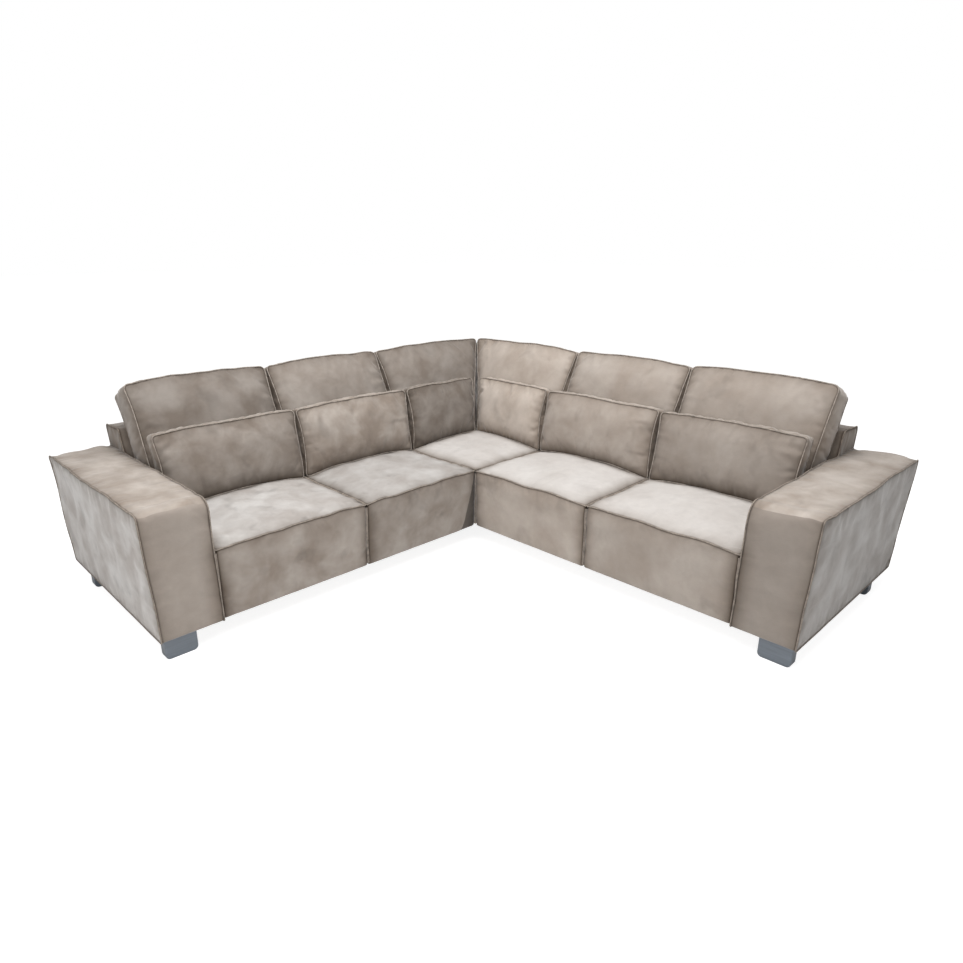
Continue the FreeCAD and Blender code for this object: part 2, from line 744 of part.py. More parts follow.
def support_foot(s, d):
    """A plain tapered square foot."""
    ends = []
    for half, z in ((SUPPORT_FOOT_TOE / 2, 0), (SUPPORT_FOOT_TOP / 2, FOOT_HEIGHT)):
        signs = ((-1, -1), (1, -1), (1, 1), (-1, 1))
        ends.append([at(s + a * half, d + b * half, z) for a, b in signs])
    return between(*ends).cut(stud_hole(s, d))


POST_START = rear_depth(RAIL_BOTTOM, BACK_WALL + SOFT_GAP)
POST_END = POST_START + CORNER_POST
REAR_FOOT_DEPTH = POST_START + BACK_RAIL_WIDTH / 2
REAR_SUPPORTS = [
    (WING_DEPTH - SUPPORT_FOOT_EDGE, REAR_FOOT_DEPTH),
    (WING_DEPTH + SUPPORT_FOOT_EDGE, REAR_FOOT_DEPTH),
    (SEAT_JOINT + SUPPORT_FOOT_EDGE, REAR_FOOT_DEPTH),
]
WING_MIDDLE_SUPPORT = (SEAT_JOINT, SUPPORT_FOOT_FRONT)
CORNER_POST_SUPPORT = ((POST_START + POST_END) / 2,) * 2
CORNER_SUPPORT = ((REAR_RAIL_DEPTH - RAIL_THICKNESS / 2 + WING_DEPTH - FIT) / 2, SUPPORT_FOOT_FRONT)


def nut(centre, along):
    """A six-sided nut with its near face at the centre, facing against its axis."""
    body = prism(centre, centre + along * NUT_HEIGHT, NUT_RADIUS, FASTENER_SIDE_COUNT)
    return body.cut(bolt_hole(centre, centre + along * NUT_HEIGHT, BOLT_RADIUS))


def arm_bolt_ends(d):
    """Start and end of a bolt from the base's end rail into the arm's side board."""
    start = ARM_INNER - FIT - RAIL_THICKNESS
    end = ARM_FRAME_S[0] + FIT + ARM_BOARD
    return at(start, d, BOLT_HEIGHT), at(end + BOLT_TAIL, d, BOLT_HEIGHT)


def section_bolt_ends(d):
    """Start and end of a bolt that joins the wing's base to the corner's base."""
    start = WING_DEPTH + FIT + RAIL_THICKNESS
    end = WING_DEPTH - FIT - RAIL_THICKNESS
    return at(start, d, BOLT_HEIGHT), at(end - BOLT_TAIL, d, BOLT_HEIGHT)


def coach_screw_ends(s):
    """Start and end of a screw from the rear rail into the edge of a former."""
    face = SEAT_REAR + FIT + RAIL_THICKNESS
    former_edge = BACK_SEAT_DEPTH - BACK_WALL - SOFT_GAP
    return at(s, face, COACH_SCREW_HEIGHT), at(s, former_edge - COACH_SCREW_BITE, COACH_SCREW_HEIGHT)


def without(shapes, tools):
    """Shapes with every tool that touches them cut away."""
    made = []
    for shape in shapes:
        for tool in tools:
            if shape.BoundBox.intersect(tool.BoundBox):
                shape = shape.cut(tool)
        made.append(shape)
    return made


def corner_back_cover():
    """The left half of the corner's back cover, mitred against the right half."""
    whole = back_cover(-BACK_WALL, WING_DEPTH - FIT)
    return whole.cut(beyond_diagonal(0.0))


def corner_post():
    """A square post where the two backs of the corner section meet."""
    return block(POST_START, POST_END, POST_START, POST_END, RAIL_BOTTOM, BACK_HEIGHT - BACK_WALL - SOFT_GAP)


def export_seats():
    half_seam = SEAM_GAP / 2
    end_seat = (SEAT_JOINT + half_seam, SEAT_END)
    inner_seat = (WING_DEPTH + half_seam, SEAT_JOINT - half_seam)
    corner_seat = (SEAT_REAR, WING_DEPTH)
    export_pair("end_seat_cover", seat_cover(*end_seat, True))
    export_pair("inner_seat_cover", seat_cover(*inner_seat, True))
    export_pair("end_seat_foam", seat_foam(*end_seat))
    export_pair("inner_seat_foam", seat_foam(*inner_seat))
    export("corner_seat_cover", seat_cover(*corner_seat, False, CORNER_SEAT_STEPS))
    export("corner_seat_foam", seat_foam(*corner_seat))


def export_cushions():
    gap = CUSHION_GAP / 2
    export_pair("back_cushion_end", cushion(SEAT_JOINT + gap, SEAT_END, BACK_FORM))
    export_pair("back_cushion_middle", cushion(WING_DEPTH + gap, SEAT_JOINT - gap, BACK_FORM))
    export_pair("back_cushion_corner", corner_back_cushion())
    export_pair("lumbar_cushion_end", cushion(SEAT_JOINT + gap, SEAT_END, LUMBAR_FORM))
    export_pair("lumbar_cushion_middle", cushion(WING_DEPTH + gap, SEAT_JOINT - gap, LUMBAR_FORM))
    export_pair("lumbar_cushion_corner", cushion(LUMBAR_CORNER_START, WING_DEPTH - gap, LUMBAR_FORM))


def export_backs():
    """Covers, frames and the screws that hold the frames to the base."""
    wing = (WING_DEPTH + FIT, ARM_INNER - FIT)
    stations = former_stations(*wing, 2) + former_stations(*CORNER_FRAME, 1)
    runs = [coach_screw_ends(s + FORMER_THICKNESS / 2) for s in stations]
    holes = [bolt_hole(*run, BOLT_RADIUS) for run in runs]
    screws = [bolt(*run, BOLT_RADIUS, BOLT_HEAD_RADIUS, BOLT_HEAD_HEIGHT) for run in runs]
    foot_holes = [stud_hole(*place) for place in REAR_SUPPORTS]
    export_pair("back_cover", *without([back_cover(*wing)], holes))
    export_pair("back_frame", *without(back_frame(*wing, 2), holes + foot_holes))
    export_pair("corner_back_cover", *without([corner_back_cover()], holes))
    corner_frame = back_frame(*CORNER_FRAME, 1)
    corner_frame += back_rails(POST_END, former_stations(*CORNER_FRAME, 1)[0])
    corner_frame = without(corner_frame, holes + foot_holes)
    post = corner_post().cut(stud_hole(*CORNER_POST_SUPPORT))
    export("corner_back_frame", post, *corner_frame, *[mirrored(part) for part in corner_frame])
    export("back_coach_screws", *screws, *[mirrored(part) for part in screws])
    return holes


def export_arms():
    """Covers, foam and frames of the arms, with the holes for their bolts."""
    holes = [bolt_hole(*arm_bolt_ends(d), BOLT_RADIUS) for d in BOLT_DEPTHS]
    foot_holes = []
    for rear in (False, True):
        foot_holes += [stud_hole(*place) for place in block_foot_studs(rear)]
    export_pair("arm_cover", *without([arm_cover()], holes))
    export_pair("arm_pad", *without([arm_pad()], holes))
    export_pair("arm_frame", *without(arm_frame(), holes + foot_holes))
    return holes


def export_base(back_holes, arm_holes):
    """Rails of the three base frames, with the holes for their fasteners."""
    section_holes = [bolt_hole(*section_bolt_ends(d), BOLT_RADIUS) for d in BOLT_DEPTHS]
    holes = back_holes + arm_holes + section_holes
    front, rear, crosses = wing_rails()
    export_pair("front_rail", front)
    export_pair("rear_rail", *without([rear], holes))
    export_pair("cross_rails", *without(crosses, holes + [stud_hole(*WING_MIDDLE_SUPPORT)]))
    both_sides = holes + [mirrored(hole) for hole in holes]
    export("corner_rails", *without(corner_rails(), both_sides + [stud_hole(*CORNER_SUPPORT)]))


def export_bolts():
    """The bolts that join arms and sections to each other, and their nuts."""
    towards_arm = (at(1, 0, 0) - at(0, 0, 0)).normalize()
    bolts, nuts = [], []
    for d in BOLT_DEPTHS:
        for run in (arm_bolt_ends(d), section_bolt_ends(d)):
            bolts.append(bolt(*run, BOLT_RADIUS, BOLT_HEAD_RADIUS, BOLT_HEAD_HEIGHT))
        nuts.append(nut(at(ARM_FRAME_S[0] + FIT + ARM_BOARD, d, BOLT_HEIGHT), towards_arm))
        nuts.append(nut(at(WING_DEPTH - FIT - RAIL_THICKNESS, d, BOLT_HEIGHT), towards_arm * -1))
    export("frame_bolts", *bolts, *[mirrored(part) for part in bolts])
    export("frame_nuts", *nuts, *[mirrored(part) for part in nuts])


def export_dust_cloths():
    rear = rear_depth(FOOT_HEIGHT, BACK_WALL + SOFT_GAP)
    edge = BACK_WALL + FIT
    wing_cloth = dust_cloth(WING_DEPTH + edge, ARM_INNER - edge, rear, WING_DEPTH - SEAT_WALL - FIT)
    corner_cloth = dust_cloth(rear, WING_DEPTH - edge, rear, WING_DEPTH - edge)
    rear_holes = [stud_hole(*place) for place in REAR_SUPPORTS]
    wing_holes = rear_holes + [stud_hole(*WING_MIDDLE_SUPPORT)]
    corner_holes = rear_holes + [mirrored(hole) for hole in rear_holes]
    corner_holes += [stud_hole(*place) for place in (CORNER_SUPPORT, CORNER_POST_SUPPORT)]
    export_pair("dust_cloth", *without([wing_cloth], wing_holes))
    export("corner_dust_cloth", *without([corner_cloth], corner_holes))


def export_springs():
    half_seam = SEAM_GAP / 2
    wing = spread(WING_DEPTH + half_seam, SEAT_JOINT - half_seam, SPRINGS_PER_SEAT)
    wing += spread(SEAT_JOINT + half_seam, SEAT_END, SPRINGS_PER_SEAT)
    corner = spread(SEAT_REAR, WING_DEPTH, SPRINGS_IN_CORNER)
    corner_front = WING_DEPTH - FIT - RAIL_THICKNESS / 2
    export_pair("seat_springs", *springs(wing, REAR_RAIL_DEPTH, FRONT_RAIL_DEPTH))
    export("corner_seat_springs", *springs(corner, REAR_RAIL_DEPTH, corner_front))
    clips = spring_clips(wing, REAR_RAIL_DEPTH, FRONT_RAIL_DEPTH)
    corner_clips = spring_clips(corner, REAR_RAIL_DEPTH, corner_front)
    export("spring_clips", *clips, *[mirrored(clip) for clip in clips], *corner_clips)


def export_feet():
    """Block feet under the arms, plain feet under the sections, and their studs."""
    export_pair("front_foot", block_foot(False))
    export_pair("rear_foot", block_foot(True))
    wing_places = REAR_SUPPORTS + [WING_MIDDLE_SUPPORT]
    corner_places = [CORNER_SUPPORT, CORNER_POST_SUPPORT]
    feet = [support_foot(*place) for place in wing_places]
    corner_feet = [support_foot(*place) for place in corner_places]
    export("support_feet", *feet, *[mirrored(foot) for foot in feet], *corner_feet)
    places = wing_places + block_foot_studs(False) + block_foot_studs(True)
    studs = [stud(*place) for place in places]
    corner_studs = [stud(*place) for place in corner_places]
    export("foot_studs", *studs, *[mirrored(part) for part in studs], *corner_studs)


def build():
    os.makedirs("parts", exist_ok=True)
    export_seats()
    export_cushions()
    back_holes = export_backs()
    arm_holes = export_arms()
    export_base(back_holes, arm_holes)
    export_bolts()
    export_dust_cloths()
    export_springs()
    export_feet()


build()
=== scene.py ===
"""Corner sofa in velvet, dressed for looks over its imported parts.

Pieces are shaped in wing coordinates, in metres: s runs along a wing from the outer back
corner towards the arm, d runs from the back plane towards the front, and z is the height.
The left wing runs along X, and the right wing is its mirror image in the plane X = Y.
"""
import math
import bmesh
import bpy
import numpy as np
from mathutils import Matrix, Vector
from mathutils.kdtree import KDTree


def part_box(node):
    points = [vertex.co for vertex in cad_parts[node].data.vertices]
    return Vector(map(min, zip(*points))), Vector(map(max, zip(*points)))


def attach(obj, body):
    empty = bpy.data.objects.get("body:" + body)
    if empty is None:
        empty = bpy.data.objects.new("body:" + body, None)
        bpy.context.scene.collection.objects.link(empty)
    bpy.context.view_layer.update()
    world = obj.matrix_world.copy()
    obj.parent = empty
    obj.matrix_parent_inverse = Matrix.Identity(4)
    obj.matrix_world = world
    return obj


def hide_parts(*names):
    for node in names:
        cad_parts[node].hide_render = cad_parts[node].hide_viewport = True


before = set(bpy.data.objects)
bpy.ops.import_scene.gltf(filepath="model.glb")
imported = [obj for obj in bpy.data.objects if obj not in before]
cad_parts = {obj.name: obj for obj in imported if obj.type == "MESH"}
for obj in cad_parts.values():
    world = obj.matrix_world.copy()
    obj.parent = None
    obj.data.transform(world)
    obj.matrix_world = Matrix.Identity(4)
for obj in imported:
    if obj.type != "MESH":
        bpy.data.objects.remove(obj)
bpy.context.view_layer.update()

bl_info = {
    "name": "Velvet corner sofa",
    "version": (1, 0, 0),
    "blender": (4, 5, 0),
    "location": "3D View > Sidebar > Sofa",
    "description": "Dresses a corner sofa with cushions, seams, feet and finishes",
    "category": "Object",
}

WINGS = ("left", "right")

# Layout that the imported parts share
OUTER_CORNER = 1.350757
WING_DEPTH = 1.054
FOOT_HEIGHT = 0.096
SEAT_EDGE_HEIGHT = 0.388
SEAT_REAR = 0.268
SEAT_CROWN = 0.030
BACK_HEIGHT = 0.690
BACK_FOOT_SETBACK = 0.075
BACK_TOP_DEPTH = 0.1624
BACK_SEAT_DEPTH = 0.2676
ARM_HEIGHT = 0.582
ARM_FRONT_FOOT = 1.064
ARM_FRONT_TOP = 1.037
ARM_TAPER = 0.015


# Room that the soft detail takes or leaves
ARM_SIDE_FILL = 0.011
ARM_FILL = 0.005
ARM_CREST = 0.078
FOLD_SHARE = 0.08
CORNER_FOLD = 0.100
FOLD_DEPTH = 0.003
HEM = 0.008
TACKED_HEIGHT = 0.12
LUMBAR_REACH = 0.024
CUSHION_MITRE = 0.0075

BACK_CUSHION = {
    "lean": math.radians(26.0), "top": 0.902, "top_depth": 0.253, "thickness": 0.158,
    "crown_front": 0.025, "crown_rear": 0.015, "rise": 0.012, "puff": 0.007, "drawn": 0.010,
    "headroom": 0.5, "top_round": 0.026, "low_round": 0.018, "counts": (58, 46, 13),
}
LUMBAR_CUSHION = {
    "lean": math.radians(9.8), "top": 0.720, "top_depth": 0.510, "thickness": 0.064,
    "crown_front": 0.034, "crown_rear": 0.015, "rise": 0.006, "puff": 0.004, "drawn": 0.012,
    "headroom": 0.0, "top_round": 0.019, "low_round": 0.014, "counts": (60, 28, 6),
}
CUSHION_PLACES = ("end", "middle", "corner")

# Radii of the arm's edges, from its lower corners to its three upper ones
ARM_LOW_ROUND = 0.004
ARM_INNER_ROUND = 0.050
ARM_OUTER_ROUND = 0.012
ARM_REAR_ROUND = 0.014

# Wave lengths of the seams' wander and of the gathers, and how far the covers may give
WANDER_WAVES = (0.34, 0.19, 0.11)
GATHER_WAVES = (0.031, 0.047, 0.078, 0.13)
SEAM_CLEARANCE = 0.008
BODY_DIP = 0.0025
SIDE_SLIP = 0.004
INWARD_GIVE = 0.004
PANEL_SIZE = (0.69, 0.5)
CREASES_PER_PANEL = 6

# How far the painted shades beside the seams and between the pieces reach
EDGE_REACH = 0.032
NEAR_REACH = 0.030
NEAR_LIMIT = 0.11
TOUCHING = 0.006

# Settings of the cloth simulation that fills the covers
VELVET_CLOTH = {
    "quality": 4, "mass": 0.3, "tension_stiffness": 12.0, "compression_stiffness": 12.0,
    "shear_stiffness": 4.0, "bending_stiffness": 0.6, "use_pressure": True,
    "vertex_group_mass": "held", "shrink_min": -0.035,
}

CAMERA_PLACE = (-2.0774, -2.0852, 1.4762)
CAMERA_YAW = math.radians(46.833)
CAMERA_PITCH = math.radians(-18.838)
CAMERA_ROLL = math.radians(-0.281)
CAMERA_LENS = 26.09
CAMERA_SHIFT = 0.0269

WHITE = (1.0, 1.0, 1.0, 1.0)
FLOOR_REACH = 40.0
FLOOR_GLOW = 1.74
FLOOR_GLOW_SHARE = 0.5
SURROUND_LIGHT = 0.30


class SofaSizes(bpy.types.PropertyGroup):
    """Sizes of the soft detail that a user may change."""
    welt_radius: bpy.props.FloatProperty(
        name="Welt radius", description="Radius of the piped seams", default=0.0027, unit="LENGTH")
    welt_lift: bpy.props.FloatProperty(
        name="Welt lift", description="How far a seam's piping stands proud", default=0.0012, unit="LENGTH")
    seam_room: bpy.props.FloatProperty(
        name="Seam room", description="Room kept at a cushion's ends for its piping", default=0.003,
        unit="LENGTH")
    pucker: bpy.props.FloatProperty(
        name="Pucker depth", description="Depth of the small gathers beside a seam", default=0.0042,
        unit="LENGTH")
    pucker_reach: bpy.props.FloatProperty(
        name="Pucker reach", description="How far the gathers run from a seam", default=0.042, unit="LENGTH")
    crease: bpy.props.FloatProperty(
        name="Crease depth", description="Depth of the long creases drawn from a seam", default=0.0058,
        unit="LENGTH")
    stuffing_pressure: bpy.props.FloatProperty(
        name="Stuffing pressure", description="Pressure that fills the covers", default=4.5, min=0.0)
    stuffing_frames: bpy.props.IntProperty(
        name="Stuffing frames", description="Steps of the cloth simulation", default=18, min=1)


class SofaColours(bpy.types.PropertyGroup):
    """Colours of the finishes, in linear light."""
    velvet_light: bpy.props.FloatVectorProperty(
        name="Velvet, brushed up", description="Velvet where its pile catches the light", subtype="COLOR",
        default=(0.43, 0.385, 0.345))
    velvet_dark: bpy.props.FloatVectorProperty(
        name="Velvet, brushed down", description="Velvet where its pile is turned away", subtype="COLOR",
        default=(0.235, 0.190, 0.155))
    # The seat-top pair paints light: the seat tops and the arms' outer sides are coloured lighter and more
    # neutral where the light falls on them.
    lit_top_light: bpy.props.FloatVectorProperty(
        name="Seat velvet, brushed up", description="Lighter parts of the seat tops", subtype="COLOR",
        default=(0.64, 0.617, 0.594))
    lit_top_dark: bpy.props.FloatVectorProperty(
        name="Seat velvet, brushed down", description="Darker parts of the seat tops", subtype="COLOR",
        default=(0.42, 0.381, 0.352))
    cushion_welt: bpy.props.FloatVectorProperty(
        name="Cushion welts", description="Piping of the loose cushions", subtype="COLOR",
        default=(0.27, 0.232, 0.20))
    body_welt: bpy.props.FloatVectorProperty(
        name="Body welts", description="Piping of the seats, arms and back", subtype="COLOR",
        default=(0.22, 0.185, 0.155))
    foot: bpy.props.FloatVectorProperty(
        name="Block feet", description="Satin paint of the block feet", subtype="COLOR",
        default=(0.150, 0.170, 0.195))


def sizes():
    return bpy.context.scene.sofa_sizes


def colours():
    return bpy.context.scene.sofa_colours


# Shapes

def to_row_frame(s, d, z, wing):
    """Points of a wing as rows of the row frame."""
    along, across = OUTER_CORNER - s, OUTER_CORNER - d
    if wing == "left":
        return np.stack([along, across, z], axis=1)
    return np.stack([across, along, z], axis=1)


def span(node, wing):
    """Where a node starts and ends along its wing."""
    low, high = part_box(node)
    axis = 0 if wing == "left" else 1
    return OUTER_CORNER - high[axis], OUTER_CORNER - low[axis]


SIDES = ("x0", "x1", "y0", "y1", "t0", "t1")


class Lattice:
    """The surface of a box divided in cells, whose points a form function places."""

    def __init__(self, counts):
        nx, ny, nt = counts
        i, j, k = np.meshgrid(range(nx + 1), range(ny + 1), range(nt + 1), indexing="ij")
        on_skin = (i == 0) | (i == nx) | (j == 0) | (j == ny) | (k == 0) | (k == nt)
        self.number = np.full(i.shape, -1)
        self.number[on_skin] = np.arange(on_skin.sum())
        self.x = i[on_skin] / nx
        self.y = j[on_skin] / ny
        self.t = k[on_skin] / nt

    def faces(self):
        """Four-sided faces of all six sides, in the order of SIDES."""
        rows = []
        self.side_of_face = []
        sides = [self.number[0], self.number[-1], self.number[:, 0], self.number[:, -1],
                 self.number[:, :, 0], self.number[:, :, -1]]
        for number, side in enumerate(sides):
            quads = np.stack([side[:-1, :-1], side[1:, :-1], side[1:, 1:], side[:-1, 1:]], axis=-1)
            rows += quads.reshape(-1, 4).tolist()
            self.side_of_face += [SIDES[number]] * (len(rows) - len(self.side_of_face))
        return rows

    def rim(self, k):
        """The closed loop round the lattice at one end of t."""
        plane = self.number[:, :, k]
        loop = list(plane[:, 0]) + list(plane[-1, 1:]) + list(plane[-2::-1, -1]) + list(plane[0, -2:0:-1])
        return [int(v) for v in loop], True

    def row(self, *index):
        """An open row of points along the axis given as a slice."""
        return [int(v) for v in self.number[index]], False


def new_object(name, vertices, faces, edges=()):
    mesh = bpy.data.meshes.new(name)
    mesh.from_pydata([tuple(v) for v in vertices], list(edges), faces)
    obj = bpy.data.objects.new(name, mesh)
    bpy.context.scene.collection.objects.link(obj)
    return obj


def face_outwards(obj):
    """Turn every face of a closed shell outwards."""
    shell = bmesh.new()
    shell.from_mesh(obj.data)
    bmesh.ops.recalc_face_normals(shell, faces=shell.faces)
    shell.to_mesh(obj.data)
    shell.free()


def points_of(mesh):
    points = np.zeros(len(mesh.vertices) * 3)
    mesh.vertices.foreach_get("co", points)
    return points.reshape(-1, 3)


def normals_of(obj):
    normals = np.zeros(len(obj.data.vertices) * 3)
    obj.data.vertex_normals.foreach_get("vector", normals)
    return normals.reshape(-1, 3)


def set_points(obj, points):
    obj.data.vertices.foreach_set("co", points.ravel())
    obj.data.update()


def rounded(x, y, width, height, low, high):
    """Round a panel's outline: low and high are the radii of its lower and upper corners."""
    dx = np.minimum(x, 1 - x) * width
    dy = np.minimum(y, 1 - y) * height
    radius = np.where(y > 0.5, high, low)
    inside = (dx < radius) & (dy < radius)
    px, py = radius - dx, radius - dy
    reach = np.hypot(px, py)
    pull = np.where(inside & (reach > 0), np.maximum(px, py) / np.maximum(reach, 1e-9), 1.0)
    dx, dy = np.where(inside, radius - px * pull, dx), np.where(inside, radius - py * pull, dy)
    return (np.where(x > 0.5, width - dx, dx) / width, np.where(y > 0.5, height - dy, dy) / height)


def swell(share, power=2.4):
    """Fullness across a stuffed panel: nothing at its seams, one in the middle."""
    return 1 - np.abs(2 * share - 1) ** power


def outline_pull(x, y, power=7):
    """Direction, in the panel's plane, in which the boxing stands out."""
    ax, ay = (2 * x - 1) ** power, (2 * y - 1) ** power
    reach = np.maximum(np.hypot(ax, ay), 1e-9)
    return ax / reach, ay / reach


def drift(points, seed, reach=0.0018):
    """A slow wander of every point, so that no seam runs dead straight."""
    rng = np.random.default_rng(seed + 1000)
    moved = np.zeros_like(points)
    for length in WANDER_WAVES:
        swing = reach * math.sqrt(length / WANDER_WAVES[0])
        for axis in range(3):
            direction = rng.normal(size=3)
            direction *= 2 * math.pi / length / np.linalg.norm(direction)
            moved[:, axis] += swing * np.sin(points @ direction + rng.uniform(0, 6.28))
    return moved


class SoftPiece:
    """A stuffed shell while it is being made: its lattice, its seams and what it stands for."""

    made = []

    def __init__(self, name, body, slot, panels, lattice, points, seams, fill, held, out, seed, wander=None):
        self.name, self.body, self.slot, self.panels = name, body, slot, panels
        self.lattice, self.seams, self.fill, self.out, self.seed = lattice, seams, fill, out, seed
        moved = drift(points, seed if wander is None else wander)
        if body == "sofa":
            moved *= np.clip((points[:, 2:] - FOOT_HEIGHT) / TACKED_HEIGHT, 0.1, 1.0)
        self.object = new_object(name, points + moved, lattice.faces())
        face_outwards(self.object)
        self.cover_panels()
        self.start = points_of(self.object.data)
        group = self.object.vertex_groups.new(name="held")
        for path, _ in seams:
            group.add(path, 1.0, "REPLACE")
        group.add([int(v) for v in held], 1.0, "REPLACE")
        SoftPiece.made.append(self)

    def cover_panels(self):
        """Give each side its own cut of velvet; "rest" covers the sides that aren't named."""
        finishes = list(dict.fromkeys(self.panels.values()))
        for finish in finishes:
            self.object.data.materials.append(finish)
        numbers = {side: finishes.index(self.panels.get(side, self.panels["rest"])) for side in SIDES}
        self.object.data.polygons.foreach_set(
            "material_index", [numbers[side] for side in self.lattice.side_of_face])

    def recover(self, points, finish):
        """Cover the faces that lie wholly on some of the points with another velvet material, here a dark one
        that paints shade.
        """
        mesh = self.object.data
        mesh.materials.append(finish)
        number = len(mesh.materials) - 1
        for face in mesh.polygons:
            if all(points[vertex] for vertex in face.vertices):
                face.material_index = number

    def mark_shades(self, trees):
        """Point attributes for the painted shades: on a seam, beside a seam, and close to another piece."""
        on_seam = np.zeros(len(self.object.data.vertices))
        for path, _ in self.seams:
            on_seam[path] = 1.0
        gaps = np.maximum(self.gap_to_others(trees) - TOUCHING, 0)
        painted_shades = {
            "seam": on_seam, "edge": np.exp(-self.seam_gap / EDGE_REACH), "near": np.exp(-gaps / NEAR_REACH),
        }
        for name, values in painted_shades.items():
            attribute = self.object.data.attributes.new(name, "FLOAT", "POINT")
            attribute.data.foreach_set("value", values.astype(np.float32))

    def gap_to_others(self, trees):
        """How far each point lies from the nearest other piece, where that is less than NEAR_LIMIT."""
        points = points_of(self.object.data)
        gaps = np.full(len(points), NEAR_LIMIT)
        for name, (tree, low, high) in trees.items():
            if name == self.name:
                continue
            close = np.all((points > low - NEAR_LIMIT) & (points < high + NEAR_LIMIT), axis=1)
            for number in np.flatnonzero(close):
                gaps[number] = min(gaps[number], tree.find(points[number])[2])
        return gaps


def seat_top(x, y):
    """Height of a seat's crowned top at shares of its width and depth."""
    forward = np.where(y > 0.5, swell(y, 3.0), swell(y, 2.0))
    return SEAT_EDGE_HEIGHT + SEAT_CROWN * swell(x, 2.6) * forward


def cushion_points(lattice, form, s0, s1, floor, wing, seat, mitre=0.0):
    """A boxed cushion that leans back and settles on the crown of the seat it stands on."""
    lean, thickness = form["lean"], form["thickness"]
    width, height = s1 - s0, (form["top"] - floor) / math.cos(lean)
    x, y = rounded(lattice.x, lattice.y, width, height, form["low_round"], form["top_round"])
    thin = 0.92 + 0.08 * swell(x, 2.0)
    full = 0.2 + 0.8 * swell(x, 3.2)
    upper = 1 + form["headroom"] * np.clip((y - 0.6) / 0.2, 0, 1)
    front = thickness / 2 * thin - thickness / 2 + form["crown_front"] * full * swell(y, 3.0) * upper
    rear = -thickness / 2 * thin - thickness / 2 - form["crown_rear"] * full * swell(y)
    t = rear + (front - rear) * lattice.t
    edge = 4 * lattice.t * (1 - lattice.t)
    pull_x, pull_y = outline_pull(x, y)
    low = -t * math.tan(lean)
    high = height + form["rise"] * swell(x, 2.0)
    h = low + (high - low) * y + form["puff"] * edge * np.maximum(pull_y, 0)
    d = form["top_depth"] + t * math.cos(lean) - (h - height) * math.sin(lean)
    z = form["top"] + t * math.sin(lean) + (h - height) * math.cos(lean)
    start = np.maximum(s0, d + mitre) if mitre else s0
    drawn = form["drawn"] * swell(y, 2.2) * (1 - 2 * x) * np.abs(1 - 2 * x) ** 3
    s = start + x * (s1 - start) + form["puff"] * 0.6 * edge * pull_x + drawn
    across = (s - seat[0]) / (seat[1] - seat[0])
    surface = seat_top(across, (d - SEAT_REAR) / (WING_DEPTH - SEAT_REAR)) + 0.002
    weight = np.clip(1 - y / 0.4, 0, 1) ** 2
    z = np.maximum(z, floor) - np.maximum(floor - surface, 0) * weight
    return to_row_frame(s, d, np.maximum(z, surface), wing)


def seat_points(lattice, s0, s1, base, wing, droop=0.006, fold=0.0):
    """A seat's cover: crowned top, upright front panel and plain sides. A fold tucks one lower corner in."""
    x, y = lattice.x, lattice.y
    tuck = np.zeros(len(x))
    if fold:
        edge = (0.002 + fold * (1 - lattice.t)) / (s1 - s0)
        inside = x <= FOLD_SHARE
        tuck = np.where(inside, FOLD_DEPTH * (1 - lattice.t), 0.0)
        x = np.where(inside, x / FOLD_SHARE * edge, edge + (x - FOLD_SHARE) / (1 - FOLD_SHARE) * (1 - edge))
    top = seat_top(x, y)
    corner = np.abs(2 * x - 1) ** 8 * np.maximum(2 * y - 1, 0) ** 6
    z = base + (top - base - droop * corner) * lattice.t - HEM * (1 - lattice.t) ** 8
    bulge = 0.005 * swell(x) * swell(lattice.t)
    rear = SEAT_REAR + 0.002
    d = rear + (WING_DEPTH - rear + bulge - tuck) * y
    s = s0 + (s1 - s0) * x
    return to_row_frame(s, d, z, wing)


def rear_depth(z):
    return BACK_FOOT_SETBACK * (BACK_HEIGHT - z) / (BACK_HEIGHT - FOOT_HEIGHT)


def front_depth(z):
    share = np.minimum(1.0, (BACK_HEIGHT - z) / (BACK_HEIGHT - SEAT_EDGE_HEIGHT))
    return BACK_TOP_DEPTH + (BACK_SEAT_DEPTH - BACK_TOP_DEPTH) * share


def back_points(lattice, s0, s1, wing, mitred=False):
    """The padded low back: x from rear to front, y from floor to top, t along the wing."""
    height = BACK_HEIGHT - FOOT_HEIGHT
    x, y = rounded(lattice.x, lattice.y, BACK_TOP_DEPTH, height, 0.004, 0.018)
    z = FOOT_HEIGHT + height * y
    rear, front = rear_depth(z), front_depth(z)
    d = rear + (front - rear) * x
    start = np.maximum(s0, d) if mitred else s0
    s = start + (s1 - start) * lattice.t
    return to_row_frame(s, d, z - HEM * (1 - y) ** 8, wing)


